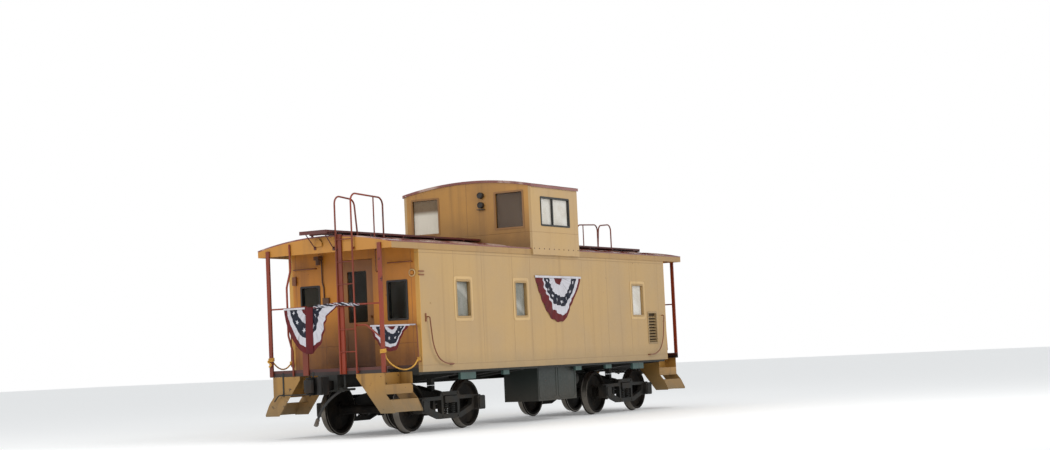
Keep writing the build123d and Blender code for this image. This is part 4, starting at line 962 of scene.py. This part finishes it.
# A dark sheet behind the louvre stands in for the shaded inside: painted shade.
louvre_painted_shade = two_tone("louvre_backing_painted_shade", (92, 76, 54), (74, 60, 44),
                       lambda coat: coat.noise(6.0), roughness=0.9)
side_hangings = [
    ("louvre_backing", louvre_painted_shade, 0.232, 0.345, 0, 0.0, (4.105, -1.312, 1.732)),
    ("side_window_1_sheet", grey_sheet_painted_reflection, 0.213, 0.30, 0, 0.0, (-3.3625, -1.322, window_middle)),
    ("side_window_2_sheet", grey_sheet_painted_reflection, 0.198, 0.30, 0, 0.0, (-1.345, -1.322, window_middle)),
    ("side_window_3_blind", white_blind_painted_glow, 0.238, 0.30, 9, 0.008,
     (3.4635, -1.324, window_middle)),
    ("cupola_side_blind", white_blind_painted_glow, 0.532, 0.247, 22, 0.010, (0.0, -1.385, 3.987)),
]
end_hangings = [
    ("cupola_left_blind", pale_blind_painted_glow, 0.292, 0.328, 3, 0.004, (-0.866, 0.9475, 4.03)),
    ("cupola_right_board", brown_board, 0.292, 0.328, 0, 0.0, (-0.866, -0.9475, 4.03)),
]
for hangings, way, face in ((side_hangings, side_way, side_face),
                            (end_hangings, end_way, end_face)):
    for name, coat, *shape in hangings:
        pair(name, blind(*shape, way, face), blind_faces, coat)

# %% [markdown]
# ## Rivets
# Heads of rivets are low domes in straight rows. One dome of a few faces is worked out
# and then added to every place of a row in one sum, so that a row of hundreds is one mesh.


# %% Rows of rivets
def rivets(name, places, outwards, radius, coat, body="carbody"):
    """Domes: rings of radius r cos t at height 0.55 r sin t, copied to every place."""
    sides, rings = 10, 4
    tilt = np.linspace(0, np.pi / 2, rings)[:, None]
    angle = np.linspace(0, 2 * np.pi, sides, endpoint=False)[None, :]
    dome = np.stack([np.cos(tilt) * np.cos(angle), np.cos(tilt) * np.sin(angle),
                     0.55 * np.sin(tilt) + 0 * angle], axis=-1) * radius
    dome = np.concatenate([0 * dome[:1], dome]).reshape(-1, 3)
    helper = np.where(np.abs(outwards[:, 2:]) > 0.9, [[1.0, 0.0, 0.0]], [[0.0, 0.0, 1.0]])
    first = unit(np.cross(helper, outwards))
    second = np.cross(outwards, first)
    points = (places[:, None] + dome[None, :, :1] * first[:, None]
              + dome[None, :, 1:2] * second[:, None] + dome[None, :, 2:] * outwards[:, None])
    faces = repeated(grid_faces(rings + 1, sides, wrap=True), len(places), len(dome))
    new_piece(name, points, faces, coat, body=body, merge=1e-6)
    print(name, len(places), "rivets")


def around(points):
    """The same places at both ends and sides: the given ones and half a turn about Z."""
    points = np.asarray(points, float)
    return np.concatenate([points, points * [-1, -1, 1]])


cupola_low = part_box("cupola_sides")[0]
foot_row = around(np.linspace((-0.86, cupola_low[1], 3.268), (0.86, cupola_low[1], 3.268), 10))
bolt_black = two_tone("bolt_black", (40, 28, 24), (70, 44, 32),
                      lambda coat: coat.noise(30.0), roughness=0.5)
rivets("cupola_foot_bolts", foot_row, unit(foot_row * [0, 1, 0]), 0.013, bolt_black)
lid_turns = np.array([(-1, -1), (-1, 1), (1, 1), (1, -1)]) * 0.07
for end, truck_x in trucks:
    lid_bolts = np.array([(truck_x + box * 0.915 + dx, side * 1.134, 0.458 + dz)
                          for box in (-1, 1) for side in (-1, 1) for dx, dz in lid_turns])
    arch_bolts = np.array([(truck_x + dx, side * 1.035, z) for side in (-1, 1)
                           for dx in (-0.25, 0.25) for z in (0.257, 0.655)])
    rivets(f"journal_lid_bolts_{end}", lid_bolts, unit(lid_bolts * [0, 1, 0]), 0.011,
           truck_skin, body=f"truck_{end}")
    rivets(f"arch_bolts_{end}", arch_bolts, unit(arch_bolts * [0, 1, 0]), 0.022,
           truck_skin, body=f"truck_{end}")
apron_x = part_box("stairs_a")[0][0]
apron_row = around(np.concatenate([
    np.linspace((apron_x, side * out, top), (apron_x, side * far, foot), count)
    for side in (-1, 1)
    for out, top, far, foot, count in ((0.93, 1.05, 0.93, 0.86, 4),
                                       (0.95, 0.80, 1.20, 0.44, 7))]))
rivets("stair_rivets", apron_row, unit(apron_row * [1, 0, 0]), 0.007, step_coat)

# %% [markdown]
# ## Springs
# A truck's springs are coils of round bar. Each follows a helix,
# P(t) = (R cos 2 pi n t, R sin 2 pi n t, z0 + t h), pressed flat for the first and last
# part of a turn so that it stands square. Four of them are worked out as one mesh.

# %% Coil springs
bar, coil_radius, turns, sides = 0.012, 0.046, 5.5, 10
foot, top = 0.3004, 0.4896
share = np.linspace(0, 1, 230)
angle = 2 * np.pi * turns * share
rise = np.clip((share - 0.09) / 0.82, 0, 1)
coil_path = np.stack([coil_radius * np.cos(angle), coil_radius * np.sin(angle),
                      foot + bar + rise * (top - foot - 2 * bar)], axis=1)
rings = closed(coil_path, tube_points(coil_path, bar, sides, np.array([0.0, 0.0, 1.0])))
coil = rings.reshape(-1, 3)
for end, truck_x in trucks:
    places = np.array([(truck_x + dx, dy, 0.0) for dx in (-0.11, 0.11)
                       for dy in (-0.99, 0.99)])
    faces = repeated(grid_faces(len(rings), sides, wrap=True), len(places), len(coil))
    piece = new_piece(f"coil_springs_{end}", places[:, None] + coil, faces, truck_skin,
                      body=f"truck_{end}", merge=1e-6)
    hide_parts(f"springs_{end}")

# %% [markdown]
# ## Small fittings
# Brackets, a latch and a box on the cabin's end are blocks with rounded edges: the
# superellipsoid x = a c(v) c(u), y = b c(v) s(u), z = h s(v), where c and s are the
# cosine and sine raised to a small power. A ring is a torus.


# %% Blocks, a ring and a pointed plate
def signed_power(values, power):
    """|v|^power with the sign of v."""
    return np.sign(values) * np.abs(values) ** power


def small_block(name, centre, half_sizes, coat):
    """Superellipsoid blocks at a place and at the same place half a turn about Z."""
    power = 0.14
    u = np.linspace(0, 2 * np.pi, 48, endpoint=False)[None, :]
    v = np.linspace(-np.pi / 2, np.pi / 2, 25)[:, None]
    flat = signed_power(np.cos(v), power)
    flat[[0, -1]] = 0.0
    shape = np.stack([flat * signed_power(np.cos(u), power),
                      flat * signed_power(np.sin(u), power),
                      signed_power(np.sin(v), power) + 0 * u], axis=-1).reshape(-1, 3)
    pair(name, shape * half_sizes + centre, grid_faces(25, 48, wrap=True), coat,
         smooth=False, merge=1e-6)


small_block("marker_bracket_low", (-4.70, -1.386, 2.712), (0.088, 0.008, 0.011), grab_coat)
small_block("marker_bracket_high", (-4.70, -1.386, 2.770), (0.088, 0.008, 0.011), grab_coat)
small_block("side_latch", (-4.610, -1.386, 1.980), (0.016, 0.008, 0.072), grab_coat)
small_block("side_staple", (-4.430, -1.383, 2.228), (0.024, 0.005, 0.007), side_coat)
small_block("sweep_foot", (-3.850, -1.386, 1.170), (0.052, 0.009, 0.015), grab_coat)
small_block("end_switch_box", (-4.782, 1.246, 2.749), (0.022, 0.040, 0.076), grab_coat)
small_block("marker_lamp_socket", (-4.782, -1.250, 2.750), (0.022, 0.030, 0.030), end_coat)

box_low, box_high = np.array(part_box("equipment_box"))
box_middle, box_half = (box_low + box_high) / 2, (box_high - box_low) / 2
for side, word in ((-1, "left"), (1, "right")):
    door_middle = (box_middle[0] + side * box_half[0] / 2, box_low[1], box_middle[2])
    edge = casing(box_half[0] / 2 - 0.06, box_half[2] - 0.07, 0.03, door_middle)
    new_piece(f"box_door_edge_{word}", edge, casing_faces, box_coat)


def ring_fitting(name, centre, reach, bar, coat):
    """A torus round the X axis: (r sin b, (R + r cos b) cos a, (R + r cos b) sin a)."""
    a = np.linspace(0, 2 * np.pi, 65)[:, None]
    b = np.linspace(0, 2 * np.pi, 16, endpoint=False)[None, :]
    far = reach + bar * np.cos(b)
    shape = np.stack([bar * np.sin(b) + 0 * a, far * np.cos(a), far * np.sin(a)], axis=-1)
    pair(name, shape + centre, grid_faces(65, 16, wrap=True), coat)


ring_fitting("marker_ring", (-4.776, -1.250, 2.750), 0.056, 0.013, casing_coat)
ring_fitting("upper_lamp_rim", (-0.982, -0.343, 4.349), 0.050, 0.009, lamp_coat)
ring_fitting("lower_lamp_rim", (-0.982, -0.343, 4.164), 0.050, 0.009, lamp_coat)

gusset = np.array([(0.0, 3.262), (0.130, 3.262), (0.130, 3.330), (0.065, 3.400), (0.0, 3.330)])
gusset_steps = [(0.0, 0.0), (1.0, 0.0), (1.0, 0.012), (0.0, 0.012)]
middle = gusset.mean(axis=0)
gusset_points = np.array([[(-5.6175 - out, *(middle + (corner - middle) * share))
                           for corner in gusset] for share, out in gusset_steps])
pair("fascia_gusset", gusset_points, grid_faces(4, 5, wrap=True), fascia_coat,
     smooth=False)

# %% [markdown]
# ## Studio
# The floor is one pale sheet, and the world is white to the camera. The light that
# reaches the car is softer: a plain sky, a broad lamp high on the near side, and a
# second one from the end, so that a colour shows about as it is written.

# %% Floor and light
floor_coat = Finish("studio_floor", roughness=0.9, emission_strength=0.16)
floor_coat.set(base_color=(0.88, 0.875, 0.86, 1.0), emission_color=(1.0, 1.0, 1.0, 1.0))
floor_half = 160.0
corner = np.array([(-1, -1), (1, -1), (1, 1), (-1, 1)]) * floor_half
floor = new_piece("studio_floor", np.column_stack([corner, np.full(4, -0.0005)]),
                  np.array([[0, 1, 2, 3]]), floor_coat, body=None)

world = bpy.context.scene.world or bpy.data.worlds.new("studio")
bpy.context.scene.world = world
world.use_nodes = True
sky = world.node_tree
sky.nodes.clear()
path, seen, plain, either, chooser, output = (sky.nodes.new(f"ShaderNode{kind}") for kind in (
    "LightPath", "Background", "Background", "Math", "MixShader", "OutputWorld"))
seen.inputs["Color"].default_value = (1.0, 1.0, 1.0, 1.0)
plain.inputs["Color"].default_value = (0.94, 0.97, 1.0, 1.0)
plain.inputs["Strength"].default_value = 0.72
either.operation = "MAXIMUM"
for source, socket in ((path.outputs["Is Camera Ray"], either.inputs[0]),
                       (path.outputs["Is Transmission Ray"], either.inputs[1]),
                       (either.outputs[0], chooser.inputs[0]),
                       (plain.outputs[0], chooser.inputs[1]),
                       (seen.outputs[0], chooser.inputs[2]),
                       (chooser.outputs[0], output.inputs[0])):
    sky.links.new(source, socket)


def soft_lamp(name, place, aim, size, power):
    """A square lamp at place that faces aim."""
    data = bpy.data.lights.new(name, "AREA")
    data.shape = "SQUARE"
    data.size = size
    data.energy = power
    lamp = bpy.data.objects.new(name, data)
    lamp.location = place
    lamp.rotation_euler = (Vector(aim) - Vector(place)).to_track_quat("-Z", "Y").to_euler()
    bpy.context.collection.objects.link(lamp)


soft_lamp("near_lamp", (-3.0, -15.0, 12.0), (0.0, 0.0, 1.8), 9.0, 1150.0)
soft_lamp("end_lamp", (-17.0, 3.0, 9.0), (-3.0, 0.0, 1.8), 7.0, 650.0)
bpy.context.scene.view_settings.view_transform = "Standard"
